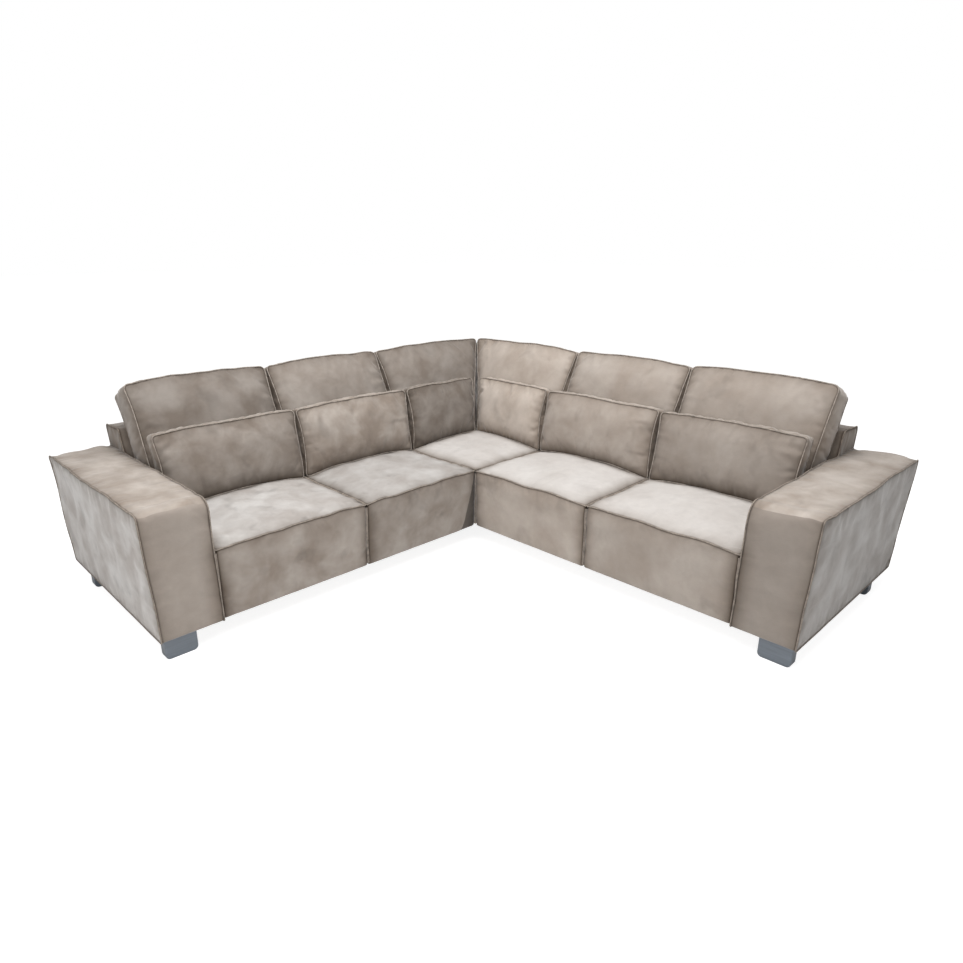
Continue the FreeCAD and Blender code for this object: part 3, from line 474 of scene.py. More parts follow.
def arm_points(lattice, s0, s1, wing):
    """The arm: x from rear to front, y from floor to top, t from the inner to the outer side."""
    height = ARM_HEIGHT - FOOT_HEIGHT
    depth = ARM_FRONT_TOP
    (inner_x, inner_y), (outer_x, outer_y), (rear_x, rear_y) = (
        rounded(lattice.x, lattice.y, depth, height, ARM_LOW_ROUND, high)
        for high in (ARM_INNER_ROUND, ARM_OUTER_ROUND, ARM_REAR_ROUND))
    t = lattice.t
    front_half = lattice.x > 0.5
    x = np.where(front_half, inner_x + (outer_x - inner_x) * t, rear_x)
    y = np.where(front_half, inner_y + (outer_y - inner_y) * t, rear_y)
    z = FOOT_HEIGHT + height * y
    share = (z - FOOT_HEIGHT) / height
    front = ARM_FRONT_FOOT + (ARM_FRONT_TOP - ARM_FRONT_FOOT) * share
    rear = rear_depth(z + BACK_HEIGHT - ARM_HEIGHT)
    d = rear - ARM_FILL + (front - rear + 2 * ARM_FILL) * x
    outer = s1 - ARM_TAPER * (1 - share)
    s = s0 + (outer - s0) * t
    dent = 0.0045 * np.exp(-((front - ARM_CREST - d) / 0.010) ** 2)
    z = z + (ARM_FILL - 0.003 * (1 - swell(t)) - dent) * share ** 6 - HEM * (1 - share) ** 8
    return to_row_frame(s, d, z, wing)


def gathers(piece, points):
    """Small gathers and soft waves beside a shell's seams, along its normals."""
    rng = np.random.default_rng(piece.seed)
    depth, reach = sizes().pucker, sizes().pucker_reach
    normals = normals_of(piece.object)
    offset = np.zeros(len(points))
    piece.seam_gap = np.full(len(points), 9.0)
    for path, _ in piece.seams:
        line = points[path]
        steps = np.linalg.norm(np.diff(line, axis=0), axis=1)
        along = np.concatenate([[0], np.cumsum(steps)])
        nearest = np.full(len(points), 9.0)
        place = np.zeros(len(points))
        for number, point in enumerate(line):
            gap = np.linalg.norm(points - point, axis=1)
            closer = gap < nearest
            nearest[closer] = gap[closer]
            place[closer] = along[number]
        wave = np.zeros(len(points))
        for length in GATHER_WAVES:
            wave += np.sin(place * 2 * math.pi / length + rng.uniform(0, 2 * math.pi)) * rng.uniform(0.5, 1.0)
        piece.seam_gap = np.minimum(piece.seam_gap, nearest)
        envelope = np.exp(-nearest / reach) * np.minimum(nearest / SEAM_CLEARANCE, 1.0)
        offset += depth * 0.5 * wave * envelope
    offset += creases(piece, rng)
    if piece.body == "sofa":
        offset = np.maximum(offset, -BODY_DIP)
    held = np.zeros(len(points), bool)
    group = piece.object.vertex_groups["held"].index
    for vertex in piece.object.data.vertices:
        held[vertex.index] = any(g.group == group for g in vertex.groups)
    offset[held] = 0
    return points + normals * offset[:, None]


def creases(piece, rng):
    """Long soft creases that run from a panel's seams towards its middle."""
    lattice = piece.lattice
    offset = np.zeros(len(lattice.x))
    width, height = PANEL_SIZE
    px, py = lattice.x * width, lattice.y * height
    for _ in range(CREASES_PER_PANEL):
        if rng.random() < 0.6:
            start_x, start_y = rng.uniform(0.08, 0.92) * width, height
            aim = rng.uniform(-2.4, -0.75)
        else:
            start_x = rng.choice([0.02, 0.98]) * width
            start_y = rng.uniform(0.25, 0.9) * height
            aim = rng.uniform(-0.5, 0.4) if start_x < width / 2 else math.pi + rng.uniform(-0.4, 0.5)
        length, breadth = rng.uniform(0.08, 0.22), rng.uniform(0.013, 0.022)
        along = (px - start_x) * math.cos(aim) + (py - start_y) * math.sin(aim)
        aside = -(px - start_x) * math.sin(aim) + (py - start_y) * math.cos(aim)
        aside = aside / breadth
        fade = np.clip(along / 0.03, 0, 1) * np.clip(1 - along / length, 0, 1) ** 1.3
        offset += rng.choice([-1, 1]) * sizes().crease * fade * aside * np.exp(0.5 - aside ** 2)
    return np.where(lattice.t == 1, offset, 0.0)


# Node materials

def material(name):
    made = bpy.data.materials.new(name)
    made.use_nodes = True
    return made, made.node_tree.nodes, made.node_tree.links


def node(nodes, kind, **values):
    made = nodes.new(kind)
    for key, value in values.items():
        setattr(made, key, value)
    return made


def set_inputs(made, values):
    """Set plain inputs of a node by their names."""
    for name, value in values.items():
        made.inputs[name].default_value = value


def noise(nodes, links, source, scale, detail=3.0, roughness=0.5, distortion=0.0):
    made = nodes.new("ShaderNodeTexNoise")
    set_inputs(made, {"Scale": scale, "Detail": detail, "Roughness": roughness, "Distortion": distortion})
    links.new(source, made.inputs["Vector"])
    return made.outputs["Fac"]


def ramp(nodes, links, source, stops):
    made = nodes.new("ShaderNodeValToRGB")
    elements = made.color_ramp.elements
    while len(elements) < len(stops):
        elements.new(0.5)
    for element, (place, colour) in zip(elements, stops):
        element.position = place
        element.color = (*colour, 1.0)
    links.new(source, made.inputs["Fac"])
    return made.outputs["Color"]


def multiplied(nodes, links, share, first, second):
    """One colour darkened by another, as far as the share says."""
    made = node(nodes, "ShaderNodeMix", data_type="RGBA", blend_type="MULTIPLY")
    made.inputs["Factor"].default_value = share
    links.new(first, made.inputs[6])
    links.new(second, made.inputs[7])
    return made.outputs[2]


def grey(value):
    return (value, value, value)


def object_space(nodes, links, shift=(0, 0, 0), scale=(1, 1, 1)):
    place = nodes.new("ShaderNodeTexCoord")
    mapping = nodes.new("ShaderNodeMapping")
    set_inputs(mapping, {"Location": shift, "Scale": scale})
    links.new(place.outputs["Object"], mapping.inputs["Vector"])
    return mapping.outputs["Vector"]


def bump(nodes, links, height, strength, distance, before=None):
    made = nodes.new("ShaderNodeBump")
    set_inputs(made, {"Strength": strength, "Distance": distance})
    links.new(height, made.inputs["Height"])
    if before is not None:
        links.new(before, made.inputs["Normal"])
    return made.outputs["Normal"]


def velvet(name, tone=1.0, patches=0.5, patch_size=1.0, shift=(0, 0, 0), smudges=0.5, pale=False):
    """Short-pile velvet: brushed patches, mottling, smudges, pile grain, sheen, and shade painted into its
    colour on and beside the seams and close to other pieces.
    """
    made, nodes, links = material(name)
    shader = nodes["Principled BSDF"]
    space = object_space(nodes, links, shift)
    # The pale pair is painted light on the seat tops and the arms' outer sides.
    up = colours().lit_top_light if pale else colours().velvet_light
    down = colours().lit_top_dark if pale else colours().velvet_dark
    middle = tuple((a + b) / 2 * tone for a, b in zip(up, down))
    light = tuple(m + (c * tone - m) * patches for m, c in zip(middle, up))
    dark = tuple(m + (c * tone - m) * patches for m, c in zip(middle, down))
    brushed = noise(nodes, links, space, 5.5 / patch_size, 3.0, 0.55, 0.25)
    tones = ramp(nodes, links, brushed, [(0.34, dark), (0.5, middle), (0.66, light)])
    mottle = noise(nodes, links, space, 24.0, 4.0, 0.6, 0.3)
    mottled = multiplied(nodes, links, 0.5, tones,
                         ramp(nodes, links, mottle, [(0.28, grey(0.80)), (0.72, grey(1.0))]))
    marks = noise(nodes, links, object_space(nodes, links, tuple(c + 9 for c in shift)), 8.5, 2.0, 0.5, 0.6)
    smudged = multiplied(nodes, links, smudges, mottled,
                         ramp(nodes, links, marks, [(0.58, grey(1.0)), (0.74, grey(0.66))]))
    streaks = noise(nodes, links, object_space(nodes, links, shift, (9.0, 9.0, 40.0)), 7.0, 2.0, 0.5)
    shaded = multiplied(nodes, links, 0.2, smudged,
                        ramp(nodes, links, streaks, [(0.3, grey(0.85)), (0.7, grey(1.0))]))
    # Painted shade: the colour darkens beside the seams (edge), where another piece comes close (near, a painted
    # contact shadow) and in the creases along the seams (seam).
    painted_shades = (
        ("edge", 0.08, 0.9, (0.70, 0.675, 0.65)),
        ("near", 0.10, 1.0, (0.46, 0.42, 0.38)),
        ("seam", 0.35, 1.0, (0.30, 0.27, 0.245)),
    )
    for attribute, start, full, dim in painted_shades:
        share = node(nodes, "ShaderNodeAttribute", attribute_name=attribute)
        shaded = multiplied(nodes, links, 1.0, shaded,
                            ramp(nodes, links, share.outputs["Fac"], [(start, grey(1.0)), (full, dim)]))
    links.new(shaded, shader.inputs["Base Color"])
    links.new(ramp(nodes, links, mottle, [(0.3, grey(0.74)), (0.7, grey(0.92))]), shader.inputs["Roughness"])
    set_inputs(shader, {"Sheen Weight": 0.5, "Sheen Roughness": 0.38, "Sheen Tint": (1.0, 0.975, 0.955, 1.0),
                        "Specular IOR Level": 0.2})
    soft = bump(nodes, links, noise(nodes, links, space, 30.0, 3.0), 0.22, 0.003)
    pile = bump(nodes, links, noise(nodes, links, space, 900.0, 2.0), 0.16, 0.0006, soft)
    links.new(pile, shader.inputs["Normal"])
    return made


def plain_finish(name, first, second, scale, roughness, metallic=0.0, stretch=(1, 1, 1), relief=0.1,
                 depth=0.0006):
    """A finish that varies between two colours in a grain that may be stretched."""
    made, nodes, links = material(name)
    shader = nodes["Principled BSDF"]
    space = object_space(nodes, links, (0, 0, 0), stretch)
    grain = noise(nodes, links, space, scale, 5.0, 0.6, 0.3)
    links.new(ramp(nodes, links, grain, [(0.3, first), (0.7, second)]), shader.inputs["Base Color"])
    smooth, rough = grey(max(0.0, roughness - 0.08)), grey(min(1.0, roughness + 0.08))
    links.new(ramp(nodes, links, grain, [(0.3, smooth), (0.7, rough)]), shader.inputs["Roughness"])
    shader.inputs["Metallic"].default_value = metallic
    links.new(bump(nodes, links, grain, relief, depth), shader.inputs["Normal"])
    return made


def dress(obj, made):
    """Give an object one material on all its slots."""
    if not obj.material_slots:
        obj.data.materials.append(made)
    for place in obj.material_slots:
        place.material = made


def shade_smooth(obj):
    obj.data.polygons.foreach_set("use_smooth", [True] * len(obj.data.polygons))


# Operators

class SOFA_OT_stage(bpy.types.Operator):
    """Set the camera, the soft lights, the pale floor and the white surround"""
    bl_idname = "sofa.stage"
    bl_label = "Stage"

    def execute(self, context):
        scene = context.scene
        data = bpy.data.cameras.new("camera")
        data.sensor_width = 36.0
        data.lens = CAMERA_LENS
        data.shift_x = CAMERA_SHIFT
        camera = bpy.data.objects.new("camera", data)
        yaw, pitch, roll = CAMERA_YAW, CAMERA_PITCH, CAMERA_ROLL
        ahead = Vector((math.cos(yaw) * math.cos(pitch), math.sin(yaw) * math.cos(pitch), math.sin(pitch)))
        level = Vector((math.sin(yaw), -math.cos(yaw), 0))
        over = level.cross(ahead)
        right = level * math.cos(roll) + over * math.sin(roll)
        up = over * math.cos(roll) - level * math.sin(roll)
        turn = Matrix((right, up, -ahead)).transposed().to_4x4()
        camera.matrix_world = Matrix.Translation(CAMERA_PLACE) @ turn
        scene.collection.objects.link(camera)
        scene.camera = camera
        scene.view_settings.view_transform = "Standard"
        self.floor(scene)
        self.lamps(scene)
        self.surround(scene)
        return {"FINISHED"}

    def floor(self, scene):
        reach = FLOOR_REACH
        corners = [(-reach, -reach, 0), (reach, -reach, 0), (reach, reach, 0), (-reach, reach, 0)]
        floor = new_object("floor", corners, [(0, 1, 2, 3)])
        made, nodes, links = material("pale_floor")
        shader = nodes["Principled BSDF"]
        set_inputs(shader, {"Roughness": 0.9, "Specular IOR Level": 0.1})
        tone = noise(nodes, links, object_space(nodes, links), 1.5, 2.0)
        pale = ramp(nodes, links, tone, [(0.0, grey(0.87)), (1.0, grey(0.90))])
        links.new(pale, shader.inputs["Base Color"])
        glow = nodes.new("ShaderNodeEmission")
        set_inputs(glow, {"Color": WHITE, "Strength": FLOOR_GLOW})
        share = nodes.new("ShaderNodeMixShader")
        path = nodes.new("ShaderNodeLightPath")
        held = node(nodes, "ShaderNodeMath", operation="MULTIPLY")
        held.inputs[1].default_value = FLOOR_GLOW_SHARE
        links.new(path.outputs["Is Camera Ray"], held.inputs[0])
        links.new(held.outputs[0], share.inputs[0])
        links.new(shader.outputs[0], share.inputs[1])
        links.new(glow.outputs[0], share.inputs[2])
        links.new(share.outputs[0], nodes["Material Output"].inputs["Surface"])
        floor.data.materials.append(made)

    def lamps(self, scene):
        plans = [
            ("overhead", (-0.3, -0.3, 3.2), (0.1, 0.1, 0.4), 3.6, 122.0),
            ("left_window", (-3.6, -0.4, 2.0), (0.3, 0.5, 0.4), 2.4, 26.0),
            ("front_fill", (-2.6, -3.2, 1.8), (0.2, 0.2, 0.4), 2.6, 12.0),
        ]
        for name, place, aim, size, power in plans:
            data = bpy.data.lights.new(name, "AREA")
            data.shape = "DISK"
            data.size = size
            data.energy = power
            lamp = bpy.data.objects.new(name, data)
            lamp.location = place
            lamp.rotation_euler = (Vector(aim) - Vector(place)).to_track_quat("-Z", "Y").to_euler()
            scene.collection.objects.link(lamp)

    def surround(self, scene):
        world = bpy.data.worlds.new("surround")
        world.use_nodes = True
        nodes, links = world.node_tree.nodes, world.node_tree.links
        lit = nodes["Background"]
        set_inputs(lit, {"Color": WHITE, "Strength": SURROUND_LIGHT})
        shown = nodes.new("ShaderNodeBackground")
        set_inputs(shown, {"Color": WHITE, "Strength": 1.0})
        path = nodes.new("ShaderNodeLightPath")
        seen = path.outputs["Is Camera Ray"]
        for ray in ("Is Glossy Ray", "Is Transmission Ray"):
            either = node(nodes, "ShaderNodeMath", operation="MAXIMUM")
            links.new(seen, either.inputs[0])
            links.new(path.outputs[ray], either.inputs[1])
            seen = either.outputs[0]
        share = nodes.new("ShaderNodeMixShader")
        links.new(seen, share.inputs[0])
        links.new(lit.outputs[0], share.inputs[1])
        links.new(shown.outputs[0], share.inputs[2])
        links.new(share.outputs[0], nodes["World Output"].inputs["Surface"])
        scene.world = world


class SOFA_OT_seats(bpy.types.Operator):
    """Shape the five seat covers"""
    bl_idname = "sofa.seats"
    bl_label = "Seat covers"

    def execute(self, context):
        # Painted light: each cut's first number is a tone that makes the right wing's seat tops and fronts
        # lighter than the left wing's, as if more light fell on them.
        cuts = {
            ("left", "end"): ((0.92, 0.75, 0.8, (3, 1, 2), 0.65), (1.02, 0.7, 0.8, (1, 6, 2), 0.6)),
            ("left", "inner"): ((0.83, 0.75, 0.8, (3, 8, 2), 0.65), (0.92, 0.7, 0.8, (1, 9, 2), 0.6)),
            ("right", "inner"): ((1.07, 0.35, 1.4, (7, 4, 1), 0.2), (1.25, 0.4, 1.3, (5, 7, 8), 0.4)),
            ("right", "end"): ((1.08, 0.35, 1.4, (7, 9, 1), 0.2), (1.12, 0.4, 1.3, (5, 2, 8), 0.4)),
        }
        finishes = {}
        for (wing, place), (top, front) in cuts.items():
            finishes[wing, place] = (velvet(f"seat_top_{wing}_{place}", *top, True),
                                     velvet(f"seat_front_{wing}_{place}", *front))
        inset = 0.0006
        for number, wing in enumerate(WINGS):
            for place in ("end", "inner"):
                node_name = f"{wing}_{place}_seat_cover"
                s0, s1 = span(node_name, wing)
                s1 += ARM_SIDE_FILL if place == "end" else 0.0
                nx, ny, nt = 50, 56, 24
                lattice = Lattice((nx, ny, nt))
                folded = wing == "left" and place == "inner"
                points = seat_points(lattice, s0 + inset, s1 - inset, FOOT_HEIGHT, wing,
                                     fold=CORNER_FOLD * folded)
                seams = [
                    lattice.rim(nt),
                    lattice.row(0, ny, slice(1, nt)),
                    lattice.row(nx, ny, slice(1, nt)),
                ]
                held = np.flatnonzero((lattice.t == 0) | (lattice.y < 0.4)
                                      | (((lattice.x == 0) | (lattice.x == 1)) & (lattice.y < 1)))
                top, front = finishes[wing, place]
                panels = {"t1": top, "rest": front}
                piece = SoftPiece(node_name, "sofa", "seat_velvet", panels, lattice, points, seams, 0.8, held,
                                  0.008, 11 + 2 * number + (place == "end"), number)
                if folded:
                    # Painted shade: the tucked corner's faces take a dark velvet that stands in for the shade in
                    # the fold.
                    piece.recover((lattice.y == 1) & (lattice.x <= FOLD_SHARE + 0.001),
                                  velvet("tucked_corner", 0.34, 0.3, 1.0, (2, 2, 2)))
        lattice = Lattice((50, 50, 6))
        s0, s1 = SEAT_REAR, WING_DEPTH
        points = seat_points(lattice, s0 + inset, s1 - inset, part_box("corner_seat_cover")[0].z, "left", 0.0)
        held = np.flatnonzero((lattice.t < 1) | (lattice.x < 0.4) | (lattice.y < 0.4))
        SoftPiece("corner_seat_cover", "sofa", "seat_velvet", {"rest": finishes["right", "inner"][0]},
                  lattice, points, [lattice.rim(6)], 0.8, held, 0.006, 19, 0)
        return {"FINISHED"}


class SOFA_OT_cushions(bpy.types.Operator):
    """Shape the back cushions and the lumbar cushions"""
    bl_idname = "sofa.cushions"
    bl_label = "Loose cushions"

    def execute(self, context):
        # Painted light: the tones make the right wing's cushions lighter than the left's, most of all the right
        # corner cushions, as if more light fell on that side.
        plans = {
            ("back", "left"): ((0.72, 0.86, 0.80), 0.7, 0.9),
            ("back", "right"): ((1.07, 1.14, 1.38), 0.45, 1.4),
            ("lumbar", "left"): ((0.85, 1.08, 0.66), 0.7, 0.7),
            ("lumbar", "right"): ((0.93, 1.15, 1.48), 0.45, 1.2),
        }
        for order, (kind, wing) in enumerate(plans):
            tones, patches, size = plans[kind, wing]
            form = BACK_CUSHION if kind == "back" else LUMBAR_CUSHION
            for number, place in enumerate(CUSHION_PLACES):
                shift = (order * 5 + number, 2 + number * 3, 6)
                label = f"{kind}_{place}_{wing}"
                face = velvet(f"face_{label}", tones[number], patches, size, shift, 0.45)
                # Painted light: the boxing is coloured lighter than the face, as the top boxing looks where
                # light falls on it.
                boxing = velvet(f"boxing_{label}", 0.3 + tones[number] * 0.95, patches, size * 0.7, shift,
                                0.5)
                panels = {"t0": face, "t1": face, "rest": boxing}
                self.cushion(kind, form, wing, place, panels, 31 + 10 * order + number)
        return {"FINISHED"}

    def cushion(self, kind, form, wing, place, panels, seed):
        node_name = f"{wing}_{kind}_cushion_{place}"
        s0, s1 = span(node_name, wing)
        if place == "corner":
            seat = (SEAT_REAR, WING_DEPTH)
        else:
            seat = span(f"{wing}_{'end' if place == 'end' else 'inner'}_seat_cover", wing)
        room = sizes().seam_room
        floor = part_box(node_name)[0].z + 0.0005
        lattice = Lattice(form["counts"])
        mitre = CUSHION_MITRE if place == "corner" else 0.0
        if kind == "lumbar" and place == "corner":
            s0 -= LUMBAR_REACH
        points = cushion_points(lattice, form, s0 + room, s1 - room, floor, wing, seat, mitre)
        seams = [lattice.rim(0), lattice.rim(form["counts"][2])]
        held = np.flatnonzero(lattice.y == 0)
        SoftPiece(node_name, node_name, f"{kind}_cushion_velvet", panels, lattice, points, seams,
                  0.75 if kind == "back" else 0.65, held, 0.010, seed)


class SOFA_OT_backs(bpy.types.Operator):
    """Shape the padded low back of both wings and the corner"""
    bl_idname = "sofa.backs"
    bl_label = "Low back"

    def execute(self, context):
        for number, wing in enumerate(WINGS):
            finish = velvet(f"back_cover_{wing}", 1.05, 0.6 - 0.2 * number, 1.2, (2 + number, 8, 3))
            s0, s1 = span(f"{wing}_back_cover", wing)
            lattice = Lattice((12, 34, 80))
            held = np.flatnonzero((lattice.y == 0) | ((lattice.x == 1) & (lattice.y < 0.6)))
            SoftPiece(f"{wing}_back_cover", "sofa", "body_velvet", {"rest": finish}, lattice,
                      back_points(lattice, s0 + 0.001, s1 - 0.001, wing),
                      [lattice.rim(0), lattice.rim(80)], 0.7, held, 0.002, 51 + number, number)
            lattice = Lattice((12, 34, 60))
            held = np.flatnonzero((lattice.y == 0) | (lattice.t == 0) | (lattice.x == 1))
            SoftPiece(f"{wing}_corner_back_cover", "sofa", "body_velvet", {"rest": finish}, lattice,
                      back_points(lattice, 0.0, WING_DEPTH - 0.0015, wing, True),
                      [lattice.rim(60)], 0.7, held, 0.002, 55 + number, number)
        return {"FINISHED"}


class SOFA_OT_arms(bpy.types.Operator):
    """Shape the two padded arms"""
    bl_idname = "sofa.arms"
    bl_label = "Arms"

    def execute(self, context):
        for number, wing in enumerate(WINGS):
            # Painted light: the arm tops are coloured lighter than the fronts and sides, and the right arm's
            # front and side darker than the left's, as light falls on them.
            crown = velvet(f"arm_top_{wing}", 1.26 - 0.03 * number, 0.65, 0.7, (4 + number, 3, 9), 0.5)
            front = velvet(f"arm_front_{wing}", 1.06 - 0.17 * number, 0.2, 1.4, (2 + number, 5, 9), 0.2)
            side = velvet(f"arm_side_{wing}", 1.03 - 0.20 * number, 1.0, 0.7, (6 + number, 1, 4), 0.6, True)
            s0, s1 = span(f"{wing}_arm_cover", wing)
            lattice = Lattice((84, 38, 18))
            held = np.flatnonzero(lattice.y == 0)
            panels = {"t0": side, "t1": side, "x1": front, "rest": crown}
            SoftPiece(f"{wing}_arm_cover", "sofa", "body_velvet", panels, lattice,
                      arm_points(lattice, s0, s1 + 0.003, wing),
                      [lattice.rim(0), lattice.rim(18)], 0.8, held, 0.003, 61 + number, number)
        return {"FINISHED"}


class SOFA_OT_stuffing(bpy.types.Operator):
    """Fill every cover by a cloth simulation, limit how far it swells, and add the gathers"""
    bl_idname = "sofa.stuffing"
    bl_label = "Stuffing"

    def execute(self, context):
        self.simulate(context)
        for piece in SoftPiece.made:
            set_points(piece.object, gathers(piece, points_of(piece.object.data)))
        trees = {piece.name: self.tree(piece) for piece in SoftPiece.made}
        for piece in SoftPiece.made:
            obj = piece.object
            self.crease(piece)
            finish = obj.modifiers.new("smooth", "SUBSURF")
            finish.levels = finish.render_levels = 1
            piece.mark_shades(trees)
            shade_smooth(obj)
            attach(obj, piece.body)
            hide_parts(piece.name if piece.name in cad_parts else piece.body)
        return {"FINISHED"}

    def tree(self, piece):
        """A search tree of a piece's points, with the corners of its box."""
        points = points_of(piece.object.data)
        tree = KDTree(len(points))
        for number, point in enumerate(points):
            tree.insert(point, number)
        tree.balance()
        return tree, points.min(axis=0), points.max(axis=0)

    def simulate(self, context):
        scene = context.scene
        for piece in SoftPiece.made:
            cloth = piece.object.modifiers.new("stuffing", "CLOTH")
            for name, value in VELVET_CLOTH.items():
                setattr(cloth.settings, name, value)
            cloth.settings.uniform_pressure_force = sizes().stuffing_pressure
            cloth.settings.effector_weights.gravity = 0.0
            cloth.point_cache.frame_start = 1
            cloth.point_cache.frame_end = sizes().stuffing_frames
        for step in range(1, sizes().stuffing_frames + 1):
            scene.frame_set(step)
        graph = context.evaluated_depsgraph_get()
        for piece in SoftPiece.made:
            filled = bpy.data.meshes.new_from_object(piece.object.evaluated_get(graph))
            piece.filled = points_of(filled)
            bpy.data.meshes.remove(filled)
        for piece in SoftPiece.made:
            normals = normals_of(piece.object)
            piece.object.modifiers.clear()
            set_points(piece.object, self.limited(piece, normals))
        scene.frame_set(1)

    def limited(self, piece, normals):
        """The filled points, held near the shape that the cover was cut to."""
        move = piece.filled - piece.start
        outward = np.sum(move * normals, axis=1)
        sideways = move - outward[:, None] * normals
        reach = np.linalg.norm(sideways, axis=1)
        sideways *= np.minimum(1.0, SIDE_SLIP / np.maximum(reach, 1e-9))[:, None]
        outward = np.clip(outward, -INWARD_GIVE, None)
        outward = np.where(outward > 0, piece.out * np.tanh(outward / piece.out), outward)
        return piece.start + sideways + outward[:, None] * normals

    def crease(self, piece):
        """Keep the seams sharp when the shell is smoothed."""
        mesh = piece.object.data
        seamed = set()
        for path, closed in piece.seams:
            pairs = list(zip(path, path[1:])) + ([(path[-1], path[0])] if closed else [])
            seamed.update(frozenset(pair) for pair in pairs)
        creases = mesh.attributes.new("crease_edge", "FLOAT", "EDGE")
        values = [0.8 if frozenset(edge.vertices) in seamed else 0.0 for edge in mesh.edges]
        creases.data.foreach_set("value", values)


class SOFA_OT_welts(bpy.types.Operator):
    """Pipe the seams with welts that follow the filled covers"""
    bl_idname = "sofa.welts"
    bl_label = "Welts"

    def tree(self, finish):
        """Node tree that turns a row of edges into a round welt."""
        made = bpy.data.node_groups.new("welt", "GeometryNodeTree")
        face = made.interface
        face.new_socket("Geometry", in_out="INPUT", socket_type="NodeSocketGeometry")
        radius = face.new_socket("Radius", in_out="INPUT", socket_type="NodeSocketFloat")
        step = face.new_socket("Step", in_out="INPUT", socket_type="NodeSocketFloat")
        face.new_socket("Geometry", in_out="OUTPUT", socket_type="NodeSocketGeometry")
        nodes, links = made.nodes, made.links
        start, end = nodes.new("NodeGroupInput"), nodes.new("NodeGroupOutput")
        curve = nodes.new("GeometryNodeMeshToCurve")
        even = node(nodes, "GeometryNodeResampleCurve", mode="LENGTH")
        ring = nodes.new("GeometryNodeCurvePrimitiveCircle")
        ring.inputs["Resolution"].default_value = 8
        tube = nodes.new("GeometryNodeCurveToMesh")
        tube.inputs["Fill Caps"].default_value = True
        real = nodes.new("GeometryNodeRealizeInstances")
        coat = nodes.new("GeometryNodeSetMaterial")
        coat.inputs["Material"].default_value = finish
        wires = (
            (start, "Geometry", curve, "Mesh"), (curve, "Curve", even, "Curve"),
            (start, "Step", even, "Length"), (start, "Radius", ring, "Radius"), (even, "Curve", tube, "Curve"),
            (ring, "Curve", tube, "Profile Curve"), (tube, "Mesh", real, "Geometry"),
            (real, "Geometry", coat, "Geometry"), (coat, "Geometry", end, "Geometry"),
        )
        for source, output, target, entry in wires:
            links.new(source.outputs[output], target.inputs[entry])
        return made, radius.identifier, step.identifier

    def execute(self, context):
        kinds = {}
        for name in ("cushion_welt", "body_welt"):
            tone = tuple(getattr(colours(), name))
            dark, light = tuple(c * 0.7 for c in tone), tuple(c * 1.5 for c in tone)
            finish = plain_finish(f"{name}_velvet", dark, light, 45.0, 0.85, relief=0.3)
            kinds[name] = (finish, *self.tree(finish))
        for piece in SoftPiece.made:
            finish, tree, radius, step = kinds["body_welt" if piece.body == "sofa" else "cushion_welt"]
            points, normals = points_of(piece.object.data), normals_of(piece.object)
            vertices, edges = [], []
            for path, closed in piece.seams:
                first = len(vertices)
                vertices += list(points[path] + normals[path] * sizes().welt_lift)
                last = len(vertices)
                edges += [(n, n + 1) for n in range(first, last - 1)]
                if closed:
                    edges.append((last - 1, first))
            line = new_object(f"{piece.name}_line", vertices, [], edges)
            modifier = line.modifiers.new("welt", "NODES")
            modifier.node_group = tree
            modifier[radius] = sizes().welt_radius
            modifier[step] = 0.009
            graph = context.evaluated_depsgraph_get()
            mesh = bpy.data.meshes.new_from_object(line.evaluated_get(graph))
            bpy.data.objects.remove(line)
            welt = bpy.data.objects.new(f"{piece.name}_welts", mesh)
            context.scene.collection.objects.link(welt)
            face_outwards(welt)
            dress(welt, finish)
            shade_smooth(welt)
            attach(welt, piece.body)
        return {"FINISHED"}


class SOFA_OT_feet(bpy.types.Operator):
    """Shape the four block feet with rounded lower corners"""
    bl_idname = "sofa.feet"
    bl_label = "Block feet"

    def execute(self, context):
        finish = plain_finish("foot_satin", tuple(colours().foot), tuple(c * 1.25 for c in colours().foot),
                              7.0, 0.34, 0.25, (1, 1, 14), 0.04, 0.0004)
        for wing in WINGS:
            for place in ("front", "rear"):
                name = f"{wing}_{place}_foot"
                low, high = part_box(name)
                lattice = Lattice((24, 20, 6))
                axis = 0 if wing == "left" else 1
                width = high[axis] - low[axis]
                x, y = rounded(lattice.x, lattice.y, width, high.z, 0.018, 0.0015)
                points = np.zeros((len(x), 3))
                points[:, axis] = low[axis] + width * x
                points[:, 1 - axis] = low[1 - axis] + (high[1 - axis] - low[1 - axis]) * lattice.t
                points[:, 2] = high.z * y
                foot = new_object(f"{name}_block", points, lattice.faces())
                face_outwards(foot)
                soft = foot.modifiers.new("edges", "BEVEL")
                soft.width = 0.0016
                soft.segments = 3
                dress(foot, finish)
                shade_smooth(foot)
                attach(foot, "sofa")
                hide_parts(name)
        return {"FINISHED"}


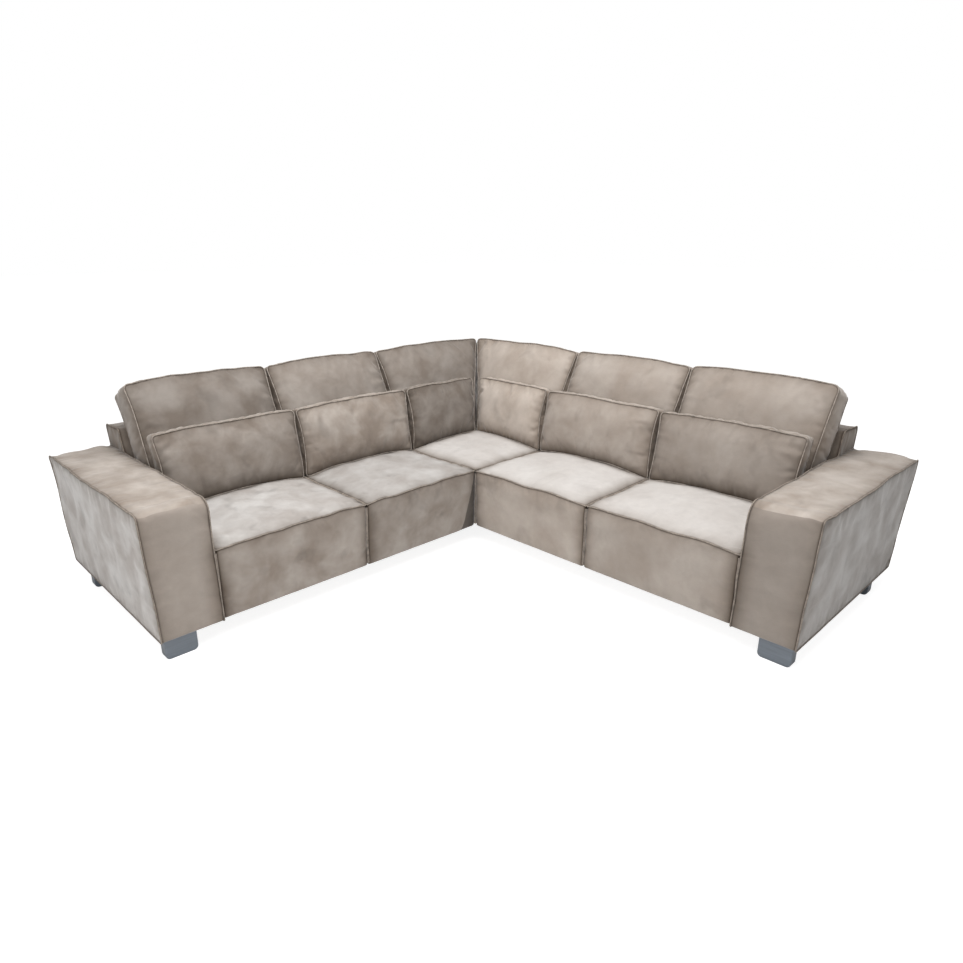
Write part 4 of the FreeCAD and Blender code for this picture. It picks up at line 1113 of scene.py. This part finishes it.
class SOFA_OT_frame_finishes(bpy.types.Operator):
    """Give the frames, foam, springs and fasteners their finishes"""
    bl_idname = "sofa.frame_finishes"
    bl_label = "Frame finishes"

    def execute(self, context):
        finishes = {
            "foam": plain_finish("cut_foam", (0.72, 0.66, 0.46), (0.80, 0.75, 0.56), 140.0, 0.95, relief=0.5),
            "timber": plain_finish("sawn_pine", (0.40, 0.25, 0.13), (0.58, 0.40, 0.22), 9.0, 0.7,
                                   stretch=(1, 1, 9)),
            "board": plain_finish("chipboard", (0.36, 0.26, 0.16), (0.52, 0.40, 0.26), 90.0, 0.8),
            "spring_steel": plain_finish("spring_steel", (0.10, 0.10, 0.11), (0.22, 0.22, 0.23), 60.0, 0.4, 0.9),
            "zinc_steel": plain_finish("zinc_steel", (0.50, 0.51, 0.53), (0.66, 0.67, 0.69), 80.0, 0.35, 0.95),
            "dust_cloth": plain_finish("dust_cloth", (0.012, 0.012, 0.013), (0.035, 0.035, 0.037), 300.0, 0.95),
            "support": plain_finish("support_plastic", grey(0.02), grey(0.04), 50.0, 0.5),
        }
        for name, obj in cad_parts.items():
            if obj.hide_render:
                continue
            dress(obj, finishes[self.finish_of(name)])
        return {"FINISHED"}

    def finish_of(self, name):
        rules = (
            ("foam", "foam"), ("pad", "foam"), ("arm_frame", "board"), ("coach", "zinc_steel"),
            ("frame_bolts", "zinc_steel"), ("nuts", "zinc_steel"), ("studs", "zinc_steel"),
            ("clips", "zinc_steel"), ("springs", "spring_steel"),
            ("dust", "dust_cloth"), ("support", "support"), ("frame", "timber"), ("rail", "timber"),
        )
        for part, finish in rules:
            if part in name:
                return finish
        raise ValueError(f"no finish for {name}")


class SOFA_PT_panel(bpy.types.Panel):
    """Lists the steps that dress the sofa"""
    bl_idname = "SOFA_PT_panel"
    bl_label = "Sofa"
    bl_space_type = "VIEW_3D"
    bl_region_type = "UI"
    bl_category = "Sofa"

    def draw(self, context):
        for step in STEPS:
            self.layout.operator(step.bl_idname)


STEPS = (
    SOFA_OT_stage, SOFA_OT_seats, SOFA_OT_cushions, SOFA_OT_backs, SOFA_OT_arms,
    SOFA_OT_stuffing, SOFA_OT_welts, SOFA_OT_feet, SOFA_OT_frame_finishes,
)
CLASSES = (SofaSizes, SofaColours) + STEPS + (SOFA_PT_panel,)


def register():
    for kind in CLASSES:
        bpy.utils.register_class(kind)
    bpy.types.Scene.sofa_sizes = bpy.props.PointerProperty(type=SofaSizes)
    bpy.types.Scene.sofa_colours = bpy.props.PointerProperty(type=SofaColours)


def unregister():
    del bpy.types.Scene.sofa_colours
    del bpy.types.Scene.sofa_sizes
    for kind in reversed(CLASSES):
        bpy.utils.unregister_class(kind)


def main():
    register()
    bpy.ops.sofa.stage()
    bpy.ops.sofa.seats()
    bpy.ops.sofa.cushions()
    bpy.ops.sofa.backs()
    bpy.ops.sofa.arms()
    bpy.ops.sofa.stuffing()
    bpy.ops.sofa.welts()
    bpy.ops.sofa.feet()
    bpy.ops.sofa.frame_finishes()


if __name__ == "__main__":
    main()
